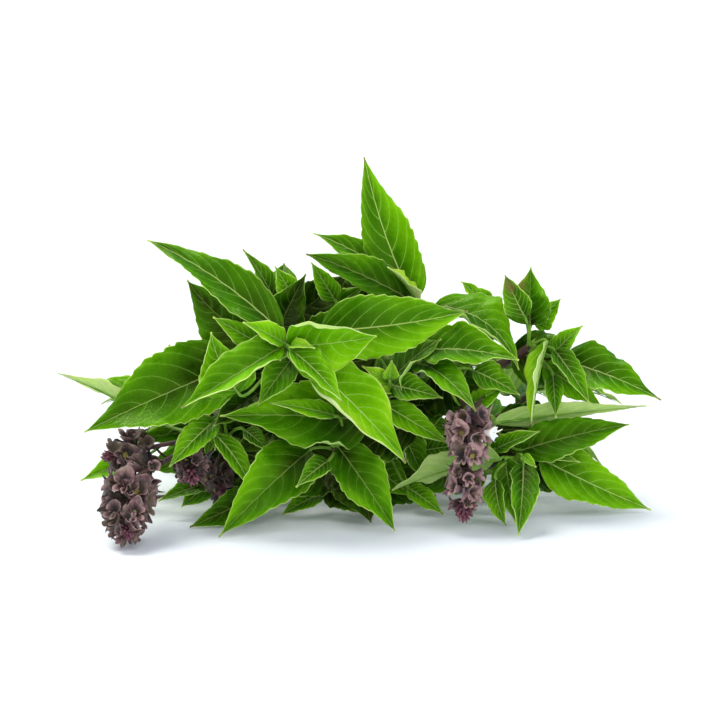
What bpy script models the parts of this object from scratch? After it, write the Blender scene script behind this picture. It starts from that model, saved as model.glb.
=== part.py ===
"""Bunch of cut Thai basil, laid down: leafy stems gathered at their cut ends, purple flower heads.

The bunch lies with its cut ends at the back and its tops fanned out to the front and the sides.
Lengths in the tables are millimetres. +X runs along the width, +Y to the back, +Z up.
The origin is the flat spot under the stem of the low front sprig, where the bunch rests.
"""
import math
import random

import bmesh
import bpy
from mathutils import Matrix, Vector
from mathutils.bvhtree import BVHTree

MM = 0.001
BLADE_THICK = 0.7      # leaf blade, millimetres
CLEAR = 0.35           # free gap kept between two sprigs
LEAN = math.radians(12.0)   # the bunch is described as met from the front, this far from above
EYE_FAR = 1200.0            # and from this far away
EYE_UP = 52.2               # aimed at this height

UP = Vector((0.0, math.sin(LEAN), math.cos(LEAN)))
TO_FRONT = Vector((0.0, -math.cos(LEAN), math.sin(LEAN)))
RIGHT = Vector((1.0, 0.0, 0.0))

# Stems: key, name, radius, points (x, y, z) from the cut end to the top.
STEMS = (
    ("A", "front rosette sprig", 1.7,
     ((-9, 70, 17), (-13, 46, 25), (-18, 12, 44), (-25, -22, 61), (-26.5, -43, 67.5))),
    ("B", "left sprig", 1.6,
     ((-19, 69, 10), (-29, 42, 20), (-40, 6, 38), (-47, -20, 51), (-57, -31, 41), (-65, -41, 28))),
    ("C", "top sprig", 1.7,
     ((6, 71, 23), (8, 46, 36), (14, 22, 56), (20, 8, 72))),
    ("D", "upper left sprig", 1.6,
     ((-3, 68, 25), (-9, 47, 39), (-19, 26, 54), (-28, 12, 67))),
    ("E", "middle right sprig", 1.6,
     ((9, 66, 15), (13, 42, 26), (19, 10, 43), (24, -14, 56), (32, -29, 53), (38, -39, 44.5))),
    ("F", "upper right sprig", 1.7,
     ((19, 69, 20), (28, 42, 30), (45, 10, 46), (58, -8, 57), (62, -13, 62))),
    ("G", "right sprig", 1.6,
     ((18, 72, 9), (26, 43, 15), (38, 15, 24), (50, -6, 31))),
    ("H", "low right sprig", 1.7,
     ((15, 70, 1.9), (25, 42, 4), (40, 8, 10), (53, -17, 20), (57, -24, 22))),
    ("I", "low middle sprig", 1.6,
     ((2, 67, 10), (4, 42, 15), (6, 5, 30), (10, -18, 44), (12, -25, 49))),
    ("J", "low front sprig", 2.3,
     ((-2, 74, 1.9), (-1, 40, 1.9), (0, 12, 1.9), (0, -8, 1.9), (-4, -22, 12), (-9, -33, 29))),
    ("K", "low left sprig", 1.6,
     ((-13, 71, 1.8), (-21, 43, 6), (-34, 8, 14), (-45, -18, 28), (-49, -26, 30))),
    ("L", "back left sprig", 1.6,
     ((-26, 62, 2.2), (-40, 42, 11), (-54, 24, 25), (-63, 10, 35))),
    ("M", "back right sprig", 1.6,
     ((28, 64, 2.4), (41, 43, 13), (54, 24, 27), (63, 10, 38))),
    ("N", "back middle sprig", 1.6,
     ((-1, 66, 34), (-4, 47, 46), (-4, 31, 57), (-2, 18, 66))),
)

# Leaves: sprig, age (g grown, y young), foot, tip (across, up, deep as met from the front),
# width, face (right, up, front), fold degrees, arch, side bow, twist degrees.
LEAVES = (
    ("A", "y", (-26.5, 57.5, -46), (6.2, 61, -50), 27, (0, -.25, 1), 28, 3, 0, 0),
    ("A", "y", (-28.5, 57.5, -46), (-66.2, 34.4, -57), 19, (-.2, .6, 1), 36, 4, -2.5, 0),
    ("A", "y", (-17, 49, -42), (17, 14, -56), 24, (.5, .15, 1), 28, 3, 0, 0),
    ("A", "y", (-28, 58.5, -47), (-43.3, 66.2, -46), 9.7, (-.3, .6, 1), 34, 1, 0, 0),
    ("A", "y", (-26, 57.5, -47), (-16.7, 56.6, -53), 5.4, (.2, .6, 1), 31, 1, 0, 0),
    ("A", "y", (-25.5, 56, -48), (-6.3, 36.4, -58), 13, (.5, .3, 1), 32, 2, 0, 0),
    ("A", "g", (-29, 62.5, -40), (-78.8, 96.6, -12), 17.5, (.2, .4, 1), 24, 3, 1.5, 0),
    ("A", "g", (-14, 63, -38), (40, 70.3, -24), 26, (0, .05, 1), 25, 3, 1.5, 0),
    ("J", "g", (2, 30, -34), (-51.8, 31.5, -50), 28.1, (0, .3, 1), 15, 3, 0, 0),
    ("J", "g", (-18.5, 18.9, -36), (-52.2, -13.3, -50), 23.8, (0, .35, 1), 22, 3, 0, 0),
    ("J", "g", (-8, 20, -34), (13, -11.1, -42), 20, (.1, .3, 1), 26, 2, 0, 0),
    ("B", "g", (-46.3, 50.3, -34), (-102, 25.5, -46), 32, (-.1, .2, 1), 24, 3, 0, 0),
    ("C", "g", (19.6, 74.4, 4), (1.5, 127.3, 8), 21.5, (.15, 0, 1), 22, 2, -2.2, 0),
    ("F", "g", (74, 52.2, -10), (111.4, 37.4, -22), 20, (0, .5, 1), 22, 3, 0, 0),
    ("G", "g", (50, 29.2, -16), (106.2, 35.3, -24), 10.5, (0, .62, -.78), 14, 2, -.8, 0),
    ("H", "g", (66.6, 15.9, -17), (107.7, -3.3, -19), 20, (0, .45, 1), 12, 2, 1.5, 0),
    ("C", "g", (27, 72.5, -2), (58.8, 48.5, -20), 21.6, (.4, .8, 1), 22, 4, -5, 0),
    ("E", "g", (24, 55.9, -18), (58.8, 52.2, -34), 20.5, (0, .6, 1), 29, 3, 0, 0),
    ("F", "g", (62.9, 65.1, -12), (63.2, 86.6, -10), 20.5, (-.2, 0, 1), 34, 1, 0, 0),
    ("A", "g", (-45, 40, -47.5), (-55.1, 62.5, -53), 22, (-.1, .2, 1), 26, 1, -1.5, 0),
    ("F", "g", (68.5, 59.2, -16), (63.3, 28.1, -28), 11.9, (-1, .2, .4), 34, 1, 0, 0),
    ("B", "g", (-77.7, 30, -30), (-112, 47.4, -22), 13, (-.2, 1, -.6), 22, 2, 0, 0),
    ("B", "g", (-70, 37, -24), (-104.3, 44.4, -12), 13, (-.1, .8, .8), 22, 1, 0, 0),
    ("C", "g", (18.5, 74.4, 0), (-20, 91.4, -14), 16.7, (0, .4, 1), 26, 3, 0, 0),
    ("C", "g", (13, 83.6, 4), (-17.4, 99.2, 12), 14, (.1, .5, 1), 22, 2, 0, 0),
    ("D", "g", (-36, 58, 4), (-64, 81.8, 10), 26, (-.2, .2, 1), 22, 2, -2.5, 0),
    ("A", "g", (-36.3, 57.7, -39), (-54.4, 68.1, -36), 9.7, (-.3, .2, 1), 26, 1, 0, 0),
    ("D", "g", (-31.5, 74.4, 8), (-43.3, 93.2, 9), 9.7, (.6, .2, .7), 29, 1, 0, 0),
    ("D", "g", (-24, 74.4, 2), (-31.5, 87, 1), 11.9, (0, .1, 1), 34, 1, 0, 0),
    ("C", "g", (-9.3, 74.4, -4), (-18.1, 88.4, -4), 9.7, (0, .1, 1), 29, 1, 0, 0),
    ("C", "g", (21.5, 74.4, 1), (10.4, 86.6, -4), 8.6, (1, .8, .3), 29, 1, 0, 0),
    ("E", "g", (22, 51, -22), (43, 33.2, -47), 15, (.2, .4, 1), 24, 4, 0, 0),
    ("E", "g", (42, 48.5, -18), (59.2, 39.2, -22), 11.9, (0, .5, 1), 22, 1, 0, 0),
    ("E", "g", (40, 35, -16), (54.4, 43.3, -21), 8.6, (0, .1, 1), 29, 1, 0, 0),
    ("F", "g", (48.1, 68.8, -4), (37.4, 81.4, -4), 9.7, (.5, .2, 1), 33, 1, 0, 0),
    ("F", "g", (61, 68, -11), (53.6, 83.6, -12), 11, (-.3, .1, 1), 26, 1, 0, 0),
    ("F", "g", (64, 66, -11), (74.2, 74.8, -14), 11.9, (.3, .1, 1), 34, 1, 0, 0),
    ("F", "g", (71, 54, -9), (82.5, 65.1, -9), 9.2, (-.2, .3, 1), 29, 1, 0, 0),
    ("F", "g", (72, 55.9, -12), (85.1, 35.9, -20), 10.8, (.3, .3, 1), 33, 1, 0, 0),
    ("F", "g", (71.4, 46.6, -14), (72.5, 30.7, -20), 8.1, (0, .2, 1), 29, 0, 0, 0),
    ("F", "g", (68, 50, -8), (90, 34.5, -12), 13, (0, .3, 1), 22, 1, 0, 0),
    ("G", "g", (60, 19, -21), (99.6, 28.4, -25), 17, (0, .4, 1), 18, 2, 0, 0),
    ("G", "g", (50, 19.2, -22), (66.6, 25.9, -28), 7.6, (0, .5, 1), 26, 1, 0, 0),
    ("G", "g", (57.4, 19.6, -18), (81.4, 14.4, -23), 10.8, (0, .7, 1), 22, 1, 0, 0),
    ("G", "g", (76, 22.5, -14), (87.7, 11.5, -16), 8.6, (.2, .3, 1), 22, 1, 0, 0),
    ("H", "g", (53.7, 15.2, -27), (57.4, -7.8, -36), 13, (-.2, .2, 1), 29, 1, 0, 0),
    ("H", "g", (60.5, 13.3, -30), (58.5, -12.6, -47), 13, (.3, .3, 1), 29, 1, 0, 0),
    ("H", "g", (50, 8, -30), (54, -9, -40), 9.7, (-.5, .7, .6), 33, 2, 0, 0),
    ("H", "y", (60, 17, -28), (65.1, 12.6, -32), 4.3, (.2, .4, 1), 22, 0, 0, 0),
    ("H", "g", (51.8, 16, -27), (11.8, 4.1, -31), 17, (0, .8, -.6), 22, 2, 0, 0),
    ("I", "g", (12.2, 42.9, -27), (30.7, 38.1, -32), 11.3, (0, .3, 1), 26, 1, 0, 0),
    ("I", "g", (9.3, 35.5, -26), (32.2, 21.5, -32), 11.9, (.1, .1, 1), 33, 1, 0, 0),
    ("I", "g", (13, 30, -22), (24, 7, -28), 13, (.5, .1, 1), 29, 1, 0, 0),
    ("I", "y", (10, 44, -27), (.7, 50, -32), 6.5, (0, .3, 1), 29, 1, 0, 0),
    ("I", "y", (11, 45, -27), (11.8, 52, -31), 6.5, (.2, .1, 1), 29, 0, 0, 0),
    ("I", "y", (4, 41, -28), (14, 39.6, -33), 4.9, (0, .7, 1), 29, 1, 0, 0),
    ("I", "g", (24, 18.9, -16), (38.5, 20.7, -20), 9.7, (0, .2, 1), 26, 1, 0, 0),
    ("I", "g", (18, 5, -16), (30.7, -4.8, -24), 8.6, (0, .4, 1), 22, 1, 0, 0),
    ("J", "g", (-9.3, 31.8, -44), (-33.3, 36.3, -49), 8.6, (0, .7, 1), 22, 1, 0, 0),
    ("J", "g", (-16, 39.2, -40), (-37, 34.8, -45), 6.5, (0, .9, .7), 22, 1, 0, 0),
    ("J", "g", (-11.8, 15, -42), (-23.7, 5.2, -47), 9.5, (-.2, .2, 1), 26, 1, 0, 0),
    ("J", "g", (-14, 3, -16), (-29, -5, -22), 8.6, (0, .5, 1), 22, 1, 0, 0),
    ("K", "g", (-36, 3, -24), (-62.9, -9.6, -38), 14.5, (.1, .5, 1), 26, 2, 0, 0),
    ("K", "g", (-55, 7, -22), (-74.7, 0, -26), 9.7, (0, .7, 1), 26, 1, 0, 0),
    ("K", "g", (-53.4, 24.6, -34), (-39.6, 3.4, -42), 9.5, (.3, .3, 1), 29, 1, -1, 0),
    ("K", "g", (-53.5, 29, -30), (-53.7, 18.9, -35), 4.3, (-.4, .2, 1), 26, 0, 0, 0),
    ("K", "g", (-54.8, 25.5, -30), (-57, 16, -36), 5.4, (0, .2, 1), 29, 0, 0, 0),
    ("K", "g", (-53.5, 30, -40), (-70.6, 12.6, -50), 12, (-.1, .3, 1), 26, 2, 0, 0),
    ("K", "g", (-42.6, 26.3, -34), (-33.3, 17.8, -38), 7.6, (.2, .5, 1), 26, 1, 0, 0),
    ("K", "g", (-44, 22, -24), (-38, 6, -30), 13, (.2, 0, 1), 26, 1, 0, 0),
    ("L", "g", (-79, 17, -10), (-103.4, 7.6, -14), 12, (0, .4, 1), 24, 1, 0, 0),
    ("B", "g", (-54, 27, -24), (-86, 22, -30), 11.9, (0, .3, 1), 26, 1, 0, 0),
    ("A", "y", (-27, 56, -46), (-29.6, 52.2, -51), 3.8, (0, .6, 1), 22, 0, 0, 0),
    ("A", "y", (-26, 56, -46), (-23.5, 50, -51), 3.8, (.1, .6, 1), 22, 0, 0, 0),
    ("D", "g", (-20, 64, 12), (2, 80, 5), 17.3, (0, .2, 1), 22, 1, 0, 0),
    ("I", "g", (10, 30, -4), (36, 26, -12), 20.5, (0, .2, 1), 18, 1, 0, 0),
    ("G", "g", (44, 20, 0), (70, 9, -5), 17.3, (0, .2, 1), 18, 1, 0, 0),
    ("K", "g", (-40, 16, -6), (-68, 9, -14), 17.3, (0, .3, 1), 18, 1, 0, 0),
    ("I", "g", (2, 14, -8), (20, 2, -16), 16.2, (0, .2, 1), 18, 1, 0, 0),
    ("L", "g", (-66, 38, 7), (-96, 36, -3), 19.4, (-.3, 1, -.2), 26, 3, 0, 0),
    ("L", "g", (-64, 40, 11), (-84, 38, 33), 19.4, (-.4, 1, -.5), 26, 3, 0, 0),
    ("L", "g", (-58, 36, 21), (-70, 34, 53), 18.4, (-.5, 1, -.6), 26, 3, 0, 0),
    ("L", "g", (-48, 30, 33), (-78, 24, 47), 17.3, (-.3, 1, -.6), 26, 2, 0, 0),
    ("L", "g", (-50, 30, 33), (-38, 44, 57), 16.2, (0, 1, -.8), 26, 2, 0, 0),
    ("L", "g", (-58, 38, 17), (-44, 60, 25), 17.3, (-.5, .5, -1), 26, 2, 0, 0),
    ("L", "g", (-62, 32, 13), (-88, 15, 11), 16.2, (-.5, 1, 0), 26, 2, 0, 0),
    ("M", "g", (66, 42, 7), (97, 36, 1), 18.4, (.3, 1, -.2), 26, 3, 0, 0),
    ("M", "g", (64, 42, 11), (84, 46, 33), 19.4, (.4, 1, -.5), 26, 3, 0, 0),
    ("M", "g", (58, 38, 19), (70, 38, 51), 18.4, (.4, 1, -.6), 26, 3, 0, 0),
    ("M", "g", (46, 28, 35), (78, 21, 47), 17.3, (.3, 1, -.6), 26, 2, 0, 0),
    ("M", "g", (49, 31, 30), (36, 46, 59), 16.2, (0, 1, -.8), 26, 2, 0, 0),
    ("M", "g", (56, 40, 17), (44, 62, 27), 17.3, (.5, .5, -1), 26, 2, 0, 0),
    ("M", "g", (60, 32, 13), (90, 13, 11), 16.2, (.5, 1, 0), 26, 2, 0, 0),
    ("N", "g", (-2, 66, 15), (-26, 70, 37), 19.4, (-.3, 1, -.6), 26, 3, 0, 0),
    ("N", "g", (0, 66, 15), (24, 72, 35), 19.4, (.3, 1, -.6), 26, 3, 0, 0),
    ("N", "g", (-2, 62, 21), (-4, 58, 59), 18.4, (0, 1, -.7), 26, 3, 0, 0),
    ("N", "g", (-4, 58, 29), (-34, 50, 49), 17.3, (-.3, 1, -.7), 26, 3, 0, 0),
    ("N", "g", (-3.2, 57.4, 30), (26, 52, 51), 17.3, (.3, 1, -.7), 26, 3, 0, 0),
    ("N", "g", (-3, 52, 39), (-16, 40, 67), 15.1, (-.3, 1, -.8), 26, 2, 0, 0),
    ("N", "g", (-2.2, 51.4, 40), (14, 42, 69), 15.1, (.3, 1, -.8), 26, 2, 0, 0),
    ("N", "g", (-2.5, 67.5, 14.5), (0, 84, 19), 16.2, (0, .3, -1), 26, 2, 0, 0),
    ("A", "g", (-18, 44, 24), (-46, 52, 34), 17.3, (-.3, 1, -.5), 26, 2, 0, 0),
    ("E", "g", (20, 44, 12), (48, 50, 22), 17.3, (.3, 1, -.4), 26, 2, 0, 0),
    ("C", "g", (16, 64, 18), (38, 68, 26), 16.2, (.3, 1, -.3), 26, 2, 0, 0),
    ("F", "g", (54, 50, 0), (86, 50, 8), 17.3, (.2, 1, -.2), 26, 2, 0, 0),
    ("G", "g", (36, 24, 16), (66, 20, 34), 16.2, (.3, 1, -.4), 26, 2, 0, 0),
    ("K", "g", (-32, 16, 12), (-62, 16, 26), 16.2, (-.3, 1, -.3), 26, 2, 0, 0),
    ("B", "g", (-38, 40, 6), (-68, 42, 16), 16.2, (-.2, 1, -.3), 26, 2, 0, 0),
    ("D", "g", (-24, 60, 18), (-46, 66, 30), 15.1, (-.3, 1, -.5), 26, 2, 0, 0),
    ("I", "g", (5, 28, 10), (-18, 26, 26), 15.1, (-.2, 1, -.5), 26, 2, 0, 0),
    ("J", "g", (0, 6, 20), (24, 9, 30), 15.1, (.2, 1, -.2), 26, 2, 0, 0),
    ("H", "g", (38, 9, 14), (64, 9, 26), 14, (.2, 1, -.2), 26, 2, 0, 0),
    ("K", "g", (-26, 12, 34), (-52, 16, 46), 15.1, (-.3, 1, -.3), 26, 2, 0, 0),
    ("C", "g", (9, 44, 42), (30, 56, 36), 16.2, (.2, 1, -.4), 26, 2, 0, 0),
    ("A", "g", (-25, 53, -42), (-38, 35, -45), 13, (.1, .3, 1), 28, 2, 0, 0),
    ("B", "g", (-60, 47, -20), (-70.8, 57.8, -18), 9, (-.2, .2, 1), 26, 1, 0, 0),
)

# Flower heads: key, name, run of the rachis (x, y, z), whorls (place along it, calyxes, reach).
HEADS = (
    ("left flower head",
     ((-65.4, -41.5, 27.4), (-72, -47.5, 25.5), (-79, -53, 22), (-81.5, -58, 15), (-82.5, -65, 9.5),
      (-80.5, -72, 6.5)),
     ((.28, 5, 6.6), (.45, 6, 8.8), (.58, 6, 9.2), (.71, 6, 8.2), (.84, 5, 6.6), (.95, 4, 4.8))),
    ("left side flower head",
     ((-64, -37, 31.5), (-73, -36, 29.5), (-82, -36.5, 27), (-90.5, -38.5, 26.5)),
     ((.4, 5, 7.2), (.62, 6, 7.6), (.84, 5, 5.6))),
    ("middle flower head",
     ((38.3, -40.5, 45.2), (38.6, -42, 40), (38.8, -43, 31), (37.3, -44, 21), (37, -46, 12), (36.9, -49, 7)),
     ((.12, 6, 7.6), (.25, 7, 8.4), (.4, 6, 7.4), (.58, 5, 6.2), (.7, 6, 6.2), (.82, 4, 4.9))),
    ("low left flower head",
     ((-51.2, -28.0, 30.2), (-56.5, -31.8, 29.5), (-60, -34.8, 26), (-60.5, -38, 22), (-59.5, -41, 18)),
     ((.45, 5, 5.6), (.65, 5, 5.8), (.85, 4, 4.8))),
    ("inner left flower head",
     ((-46.4, -22.2, 26.6), (-50.5, -24, 23), (-52.2, -26, 18.5), (-50.8, -29, 14), (-49.5, -32, 11)),
     ((.42, 4, 5.8), (.65, 5, 6.0), (.86, 4, 4.8))),
)


def at(across, up, deep):
    """Point of the bunch named as it is met from the front: across, up, deep."""
    along = (deep - math.sin(LEAN) * up) / math.cos(LEAN)
    grow = 1.0 + along / EYE_FAR
    high = EYE_UP + (up - EYE_UP) * grow
    return RIGHT * (across * grow) + UP * high - TO_FRONT * along


def curve_points(points, count):
    """Even run of points along a smooth curve through the given ones."""
    knots = [Vector(p) for p in points]
    knots = [knots[0] * 2 - knots[1]] + knots + [knots[-1] * 2 - knots[-2]]
    spans = len(knots) - 3
    run = []
    for i in range(count):
        place = i * spans / (count - 1)
        k = min(int(place), spans - 1)
        t = place - k
        a, b, c, d = knots[k:k + 4]
        run.append(0.5 * (2 * b + (c - a) * t + (2 * a - 5 * b + 4 * c - d) * t * t
                          + (3 * b - a - 3 * c + d) * t ** 3))
    return run


def rooting_places(run):
    """Places inside a stem where leaf stalks can start."""
    last = run[-1].lerp(run[-2], 1.8 / (run[-1] - run[-2]).length)
    run = run[:-1] + [last]
    return [low.lerp(high, k / 4) for low, high in zip(run, run[1:]) for k in range(1, 5)]


def tube(bm, run, radii, sides):
    """Closed tube along a run of points, pressed flat where it lies on the surface."""
    rings = []
    side = level_pair((run[1] - run[0]).normalized())[0]
    for i, centre in enumerate(run):
        ahead = run[min(i + 1, len(run) - 1)] - run[max(i - 1, 0)]
        ahead.normalize()
        side = (side - ahead * side.dot(ahead)).normalized()
        lift = side.cross(ahead)
        ring = []
        for k in range(sides):
            turn = 2 * math.pi * k / sides
            spot = centre + (side * math.cos(turn) + lift * math.sin(turn)) * radii[i]
            spot.z = max(spot.z, 0.0)
            ring.append(bm.verts.new(spot))
        rings.append(ring)
    for low, high in zip(rings, rings[1:]):
        for k in range(sides):
            bm.faces.new((low[k], low[(k + 1) % sides], high[(k + 1) % sides], high[k]))
    bm.faces.new(list(reversed(rings[0])))
    bm.faces.new(rings[-1])


class Blade:
    """One leaf blade: the smooth form shared by every fineness of it."""

    def __init__(self, row, index, run, foot, tip, face_turn=0.0):
        self.sprig, self.age = row[0], row[1]
        self.foot, self.tip = foot, tip
        self.root = min(rooting_places(run), key=lambda p: (p - foot).length)
        self.width = row[4] * 0.5
        self.fold = math.radians(row[6])
        self.arch, self.bow = row[7], row[8]
        self.twist = math.radians(row[9])
        self.axis = (tip - foot).normalized()
        self.length = (tip - foot).length
        face = RIGHT * row[5][0] + UP * row[5][1] + TO_FRONT * row[5][2]
        face = face - self.axis * face.dot(self.axis)
        face.normalize()
        self.face = Matrix.Rotation(face_turn, 3, self.axis) @ face
        chance = random.Random(1000 + index)
        self.wave = chance.uniform(0.04, 0.085) * row[4]
        self.waves = chance.uniform(1.6, 2.6)
        self.phase = chance.uniform(0, 6.28)
        self.lag = chance.uniform(1.0, 3.0)
        self.taper = chance.uniform(1.12, 1.42)
        peak = 0.55 / (0.55 + self.taper)
        self.fullest = peak ** 0.55 * (1.0 - peak) ** self.taper

    def spread(self, s):
        """Half width at s."""
        return self.width * s ** 0.55 * (1.0 - s) ** self.taper / self.fullest

    def point(self, s, t, out):
        """Point of the blade: s foot to tip, t -1 to 1 across, out times its half width."""
        turn = Matrix.Rotation(self.twist * (s - 0.3), 3, self.axis)
        face = turn @ self.face
        side = self.axis.cross(face)
        hump = 4 * s * (1 - s)
        middle = self.foot + (self.tip - self.foot) * s + self.face * (self.arch * hump)
        middle = middle + self.axis.cross(self.face) * (self.bow * hump)
        reach = self.spread(s) * out
        ripple = self.wave * math.sin(self.phase + self.lag * (t > 0) + self.waves * 6.28 * s)
        lift = reach * abs(t) * math.sin(self.fold) + ripple * t * t * min(1.0, reach / 3.0)
        return middle + side * (reach * t * math.cos(self.fold)) + face * lift, face


def stalk_station(blade, place):
    """Middle, side and face of the stalk, from the stem at 0 to the foot of the blade at 1."""
    start, foot = blade.root, blade.foot
    bend = foot - blade.axis * ((foot - start).length * 0.26)
    middle = start * (1 - place) ** 2 + bend * (2 * place * (1 - place)) + foot * place ** 2
    ahead = ((bend - start) * (1 - place) + (foot - bend) * place).normalized()
    side = ahead.cross(blade.face)
    if side.length < 0.3:
        side = blade.axis.cross(blade.face)
    side.normalize()
    return middle, side, side.cross(ahead)


def leaf_body(blade, grow=0.0, with_stalk=True):
    """Stalk and blade of one leaf as one closed body; grow swells it for the gap test."""
    bm = bmesh.new()
    stalk = 0 if not with_stalk else 2 if (blade.foot - blade.root).length > 10 else 1
    steps = 6 if blade.length > 52 else 5 if blade.length > 25 else 4 if blade.length > 12 else 3
    whole = steps + stalk
    sheet = bmesh.ops.create_grid(bm, x_segments=whole, y_segments=2, size=1.0)["verts"]
    places = {v: (round((v.co.x * 0.5 + 0.5) * whole), round(v.co.y), 1) for v in sheet}
    faces = list({f for v in sheet for f in v.link_faces})
    lower = bmesh.ops.extrude_face_region(bm, geom=faces, use_keep_orig=True)["geom"]
    for v in [g for g in lower if isinstance(g, bmesh.types.BMVert)]:
        places[v] = (round((v.co.x * 0.5 + 0.5) * whole), round(v.co.y), -1)
    for v, (station, t, layer) in places.items():
        if station < stalk:
            middle, side, face = stalk_station(blade, station / stalk)
            v.co = middle + side * (t * (0.65 + grow)) + face * (layer * (0.5 + grow))
            continue
        s = ((station - stalk) / steps) ** 1.15
        tooth = 1.0 + (0.05 if station % 2 else -0.04) * (blade.age == "g")
        spot, face = blade.point(s, t, tooth)
        side = blade.axis.cross(face)
        spot = spot + side * (t * (grow + max(0.0, 0.5 - blade.spread(s))))
        if station == whole:
            spot = spot + blade.axis * grow
        v.co = spot + face * (layer * (BLADE_THICK * 0.5 + grow))
    bmesh.ops.recalc_face_normals(bm, faces=bm.faces)
    bmesh.ops.triangulate(bm, faces=bm.faces)
    return bm


def span(bm):
    """Corners of the box round a mesh."""
    xs, ys, zs = zip(*[v.co for v in bm.verts])
    return min(xs), min(ys), min(zs), max(xs), max(ys), max(zs)


def apart(one, two):
    """Whether two boxes are clear of each other."""
    return any(one[k] > two[k + 3] or two[k] > one[k + 3] for k in range(3))


def tries():
    """Changes tried on a leaf until it is clear: foot depth, tip depth, turn, length."""
    rows = []
    for short in (1.0, 0.9, 0.8):
        for turn in (0, 12, -12, 25, -25, 40, -40):
            for foot in (0, 3, -3, 6, -6):
                for tip in (0, 3, -3, 6, -6, 9, -9, 13, -13, 18, -18, 24, -24):
                    cost = abs(foot) * 1.3 + abs(tip) + abs(turn) * 0.35 + (1 - short) * 90
                    rows.append((cost, foot, tip, turn, short))
    rows.sort(key=lambda r: r[0])
    return rows


def lying(bm, key):
    """A body as the clearance rule keeps it: sprig, box, tree."""
    kept = (key, span(bm), BVHTree.FromBMesh(bm))
    bm.free()
    return kept


def touches(one, two):
    """Whether two kept bodies cross."""
    return not apart(one[1], two[1]) and bool(one[2].overlap(two[2]))


def placed_blades(stem_runs, solid):
    """Every leaf, set clear of what lies there already; solid holds (sprig, box, tree)."""
    blades = []
    bare = {}
    changes = tries()
    for index, row in enumerate(LEAVES):
        key = row[0]
        best = None
        for cost, foot_d, tip_d, turn, short in changes:
            if best and cost > best[0]:
                break
            foot = at(row[2][0], row[2][1], row[2][2] + foot_d)
            tip = at(row[3][0], row[3][1], row[3][2] + tip_d)
            tip = foot + (tip - foot) * short
            blade = Blade(row, index, stem_runs[key], foot, tip, math.radians(turn))
            whole = lying(leaf_body(blade, CLEAR), key)
            if whole[1][2] < -CLEAR * 0.9 or any(s[0] != key and touches(whole, s) for s in solid):
                continue
            alone = lying(leaf_body(blade, CLEAR, False), key)
            cost += 12 * sum(touches(alone, s) for s in bare.get(key, []))
            if best is None or cost < best[0]:
                best = (cost, blade)
        if best is None:
            continue
        blades.append(best[1])
        solid.append(lying(leaf_body(best[1]), key))
        bare.setdefault(key, []).append(lying(leaf_body(best[1], 0.0, False), key))
    return blades


def level_pair(direction):
    """Two directions square to the given one and to each other."""
    side = direction.cross(Vector((0, 0, 1)))
    if side.length < 0.2:
        side = direction.cross(Vector((0, 1, 0)))
    side.normalize()
    return side, side.cross(direction).normalized()


def calyx(foot, direction, length, rim, turn):
    """Open calyx flaring from its short stalk: longer and shorter lobes, a sunk mouth."""
    bm = bmesh.new()
    side, lift = level_pair(direction)
    start = bm.verts.new(foot)
    heart = bm.verts.new(foot + direction * (length * 0.68))
    lobes = []
    for k in range(5):
        spin = turn + 2 * math.pi * k / 5
        out = side * math.cos(spin) + lift * math.sin(spin)
        lobe = (1.18, 0.9, 1.0, 1.0, 0.9)[k]
        lobes.append(bm.verts.new(foot + direction * (length * lobe) + out * rim))
    for k in range(5):
        n = (k + 1) % 5
        bm.faces.new((lobes[k], lobes[n], heart))
        bm.faces.new((lobes[n], lobes[k], start))
    return bm


def scale_leaf(foot, direction, length, width, thick):
    """Small pointed bract or bud: widest near its foot."""
    bm = bmesh.new()
    side, lift = level_pair(direction)
    waist = foot + direction * (length * 0.35)
    ring = [bm.verts.new(waist + side * width), bm.verts.new(waist + lift * thick),
            bm.verts.new(waist - side * width), bm.verts.new(waist - lift * thick)]
    start, end = bm.verts.new(foot), bm.verts.new(foot + direction * length)
    for k in range(4):
        bm.faces.new((ring[k], ring[(k + 1) % 4], end))
        bm.faces.new((ring[(k + 1) % 4], ring[k], start))
    return bm


def head_bodies(index, run, whorls):
    """Rachis, calyxes, bracts and end buds of one flower head as loose closed bodies."""
    chance = random.Random(500 + index)
    rachis = bmesh.new()
    tube(rachis, run, [0.95 - 0.35 * i / (len(run) - 1) for i in range(len(run))], 5)
    bodies = [rachis]
    for place, count, reach in whorls:
        spot = place * (len(run) - 1)
        k = min(int(spot), len(run) - 2)
        centre = run[k].lerp(run[k + 1], spot - k)
        ahead = (run[k + 1] - run[k]).normalized()
        side, lift = level_pair(ahead)
        first = chance.uniform(0, 6.28)
        for n in range(count):
            spin = first + 2 * math.pi * n / count + chance.uniform(-0.16, 0.16)
            out = side * math.cos(spin) + lift * math.sin(spin)
            lean = (out + ahead * chance.uniform(0.15, 0.5)).normalized()
            start = centre + ahead * chance.uniform(-0.7, 0.7)
            size = reach * chance.uniform(0.88, 1.06)
            bodies.append(calyx(start, lean, size, size * 0.27 + 0.35, chance.uniform(0, 6.28)))
        spin = first + math.pi / count
        out = side * math.cos(spin) + lift * math.sin(spin)
        bodies.append(scale_leaf(centre - ahead * 1.6, (out - ahead * 0.4).normalized(),
                                 reach * 1.2, reach * 0.2, 0.45))
    ahead = (run[-1] - run[-2]).normalized()
    side, lift = level_pair(ahead)
    for n in range(3):
        spin = 2 * math.pi * n / 3 + 0.5
        out = side * math.cos(spin) + lift * math.sin(spin)
        bodies.append(scale_leaf(run[-1] - ahead * 1.5, (ahead + out * 0.45).normalized(), 3.6, 0.95, 0.9))
    for bm in bodies:
        for v in bm.verts:
            v.co.z = max(v.co.z, 0.02 + 0.01 * (v.co.x % 1.0))
        bmesh.ops.recalc_face_normals(bm, faces=bm.faces)
    return bodies


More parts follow.
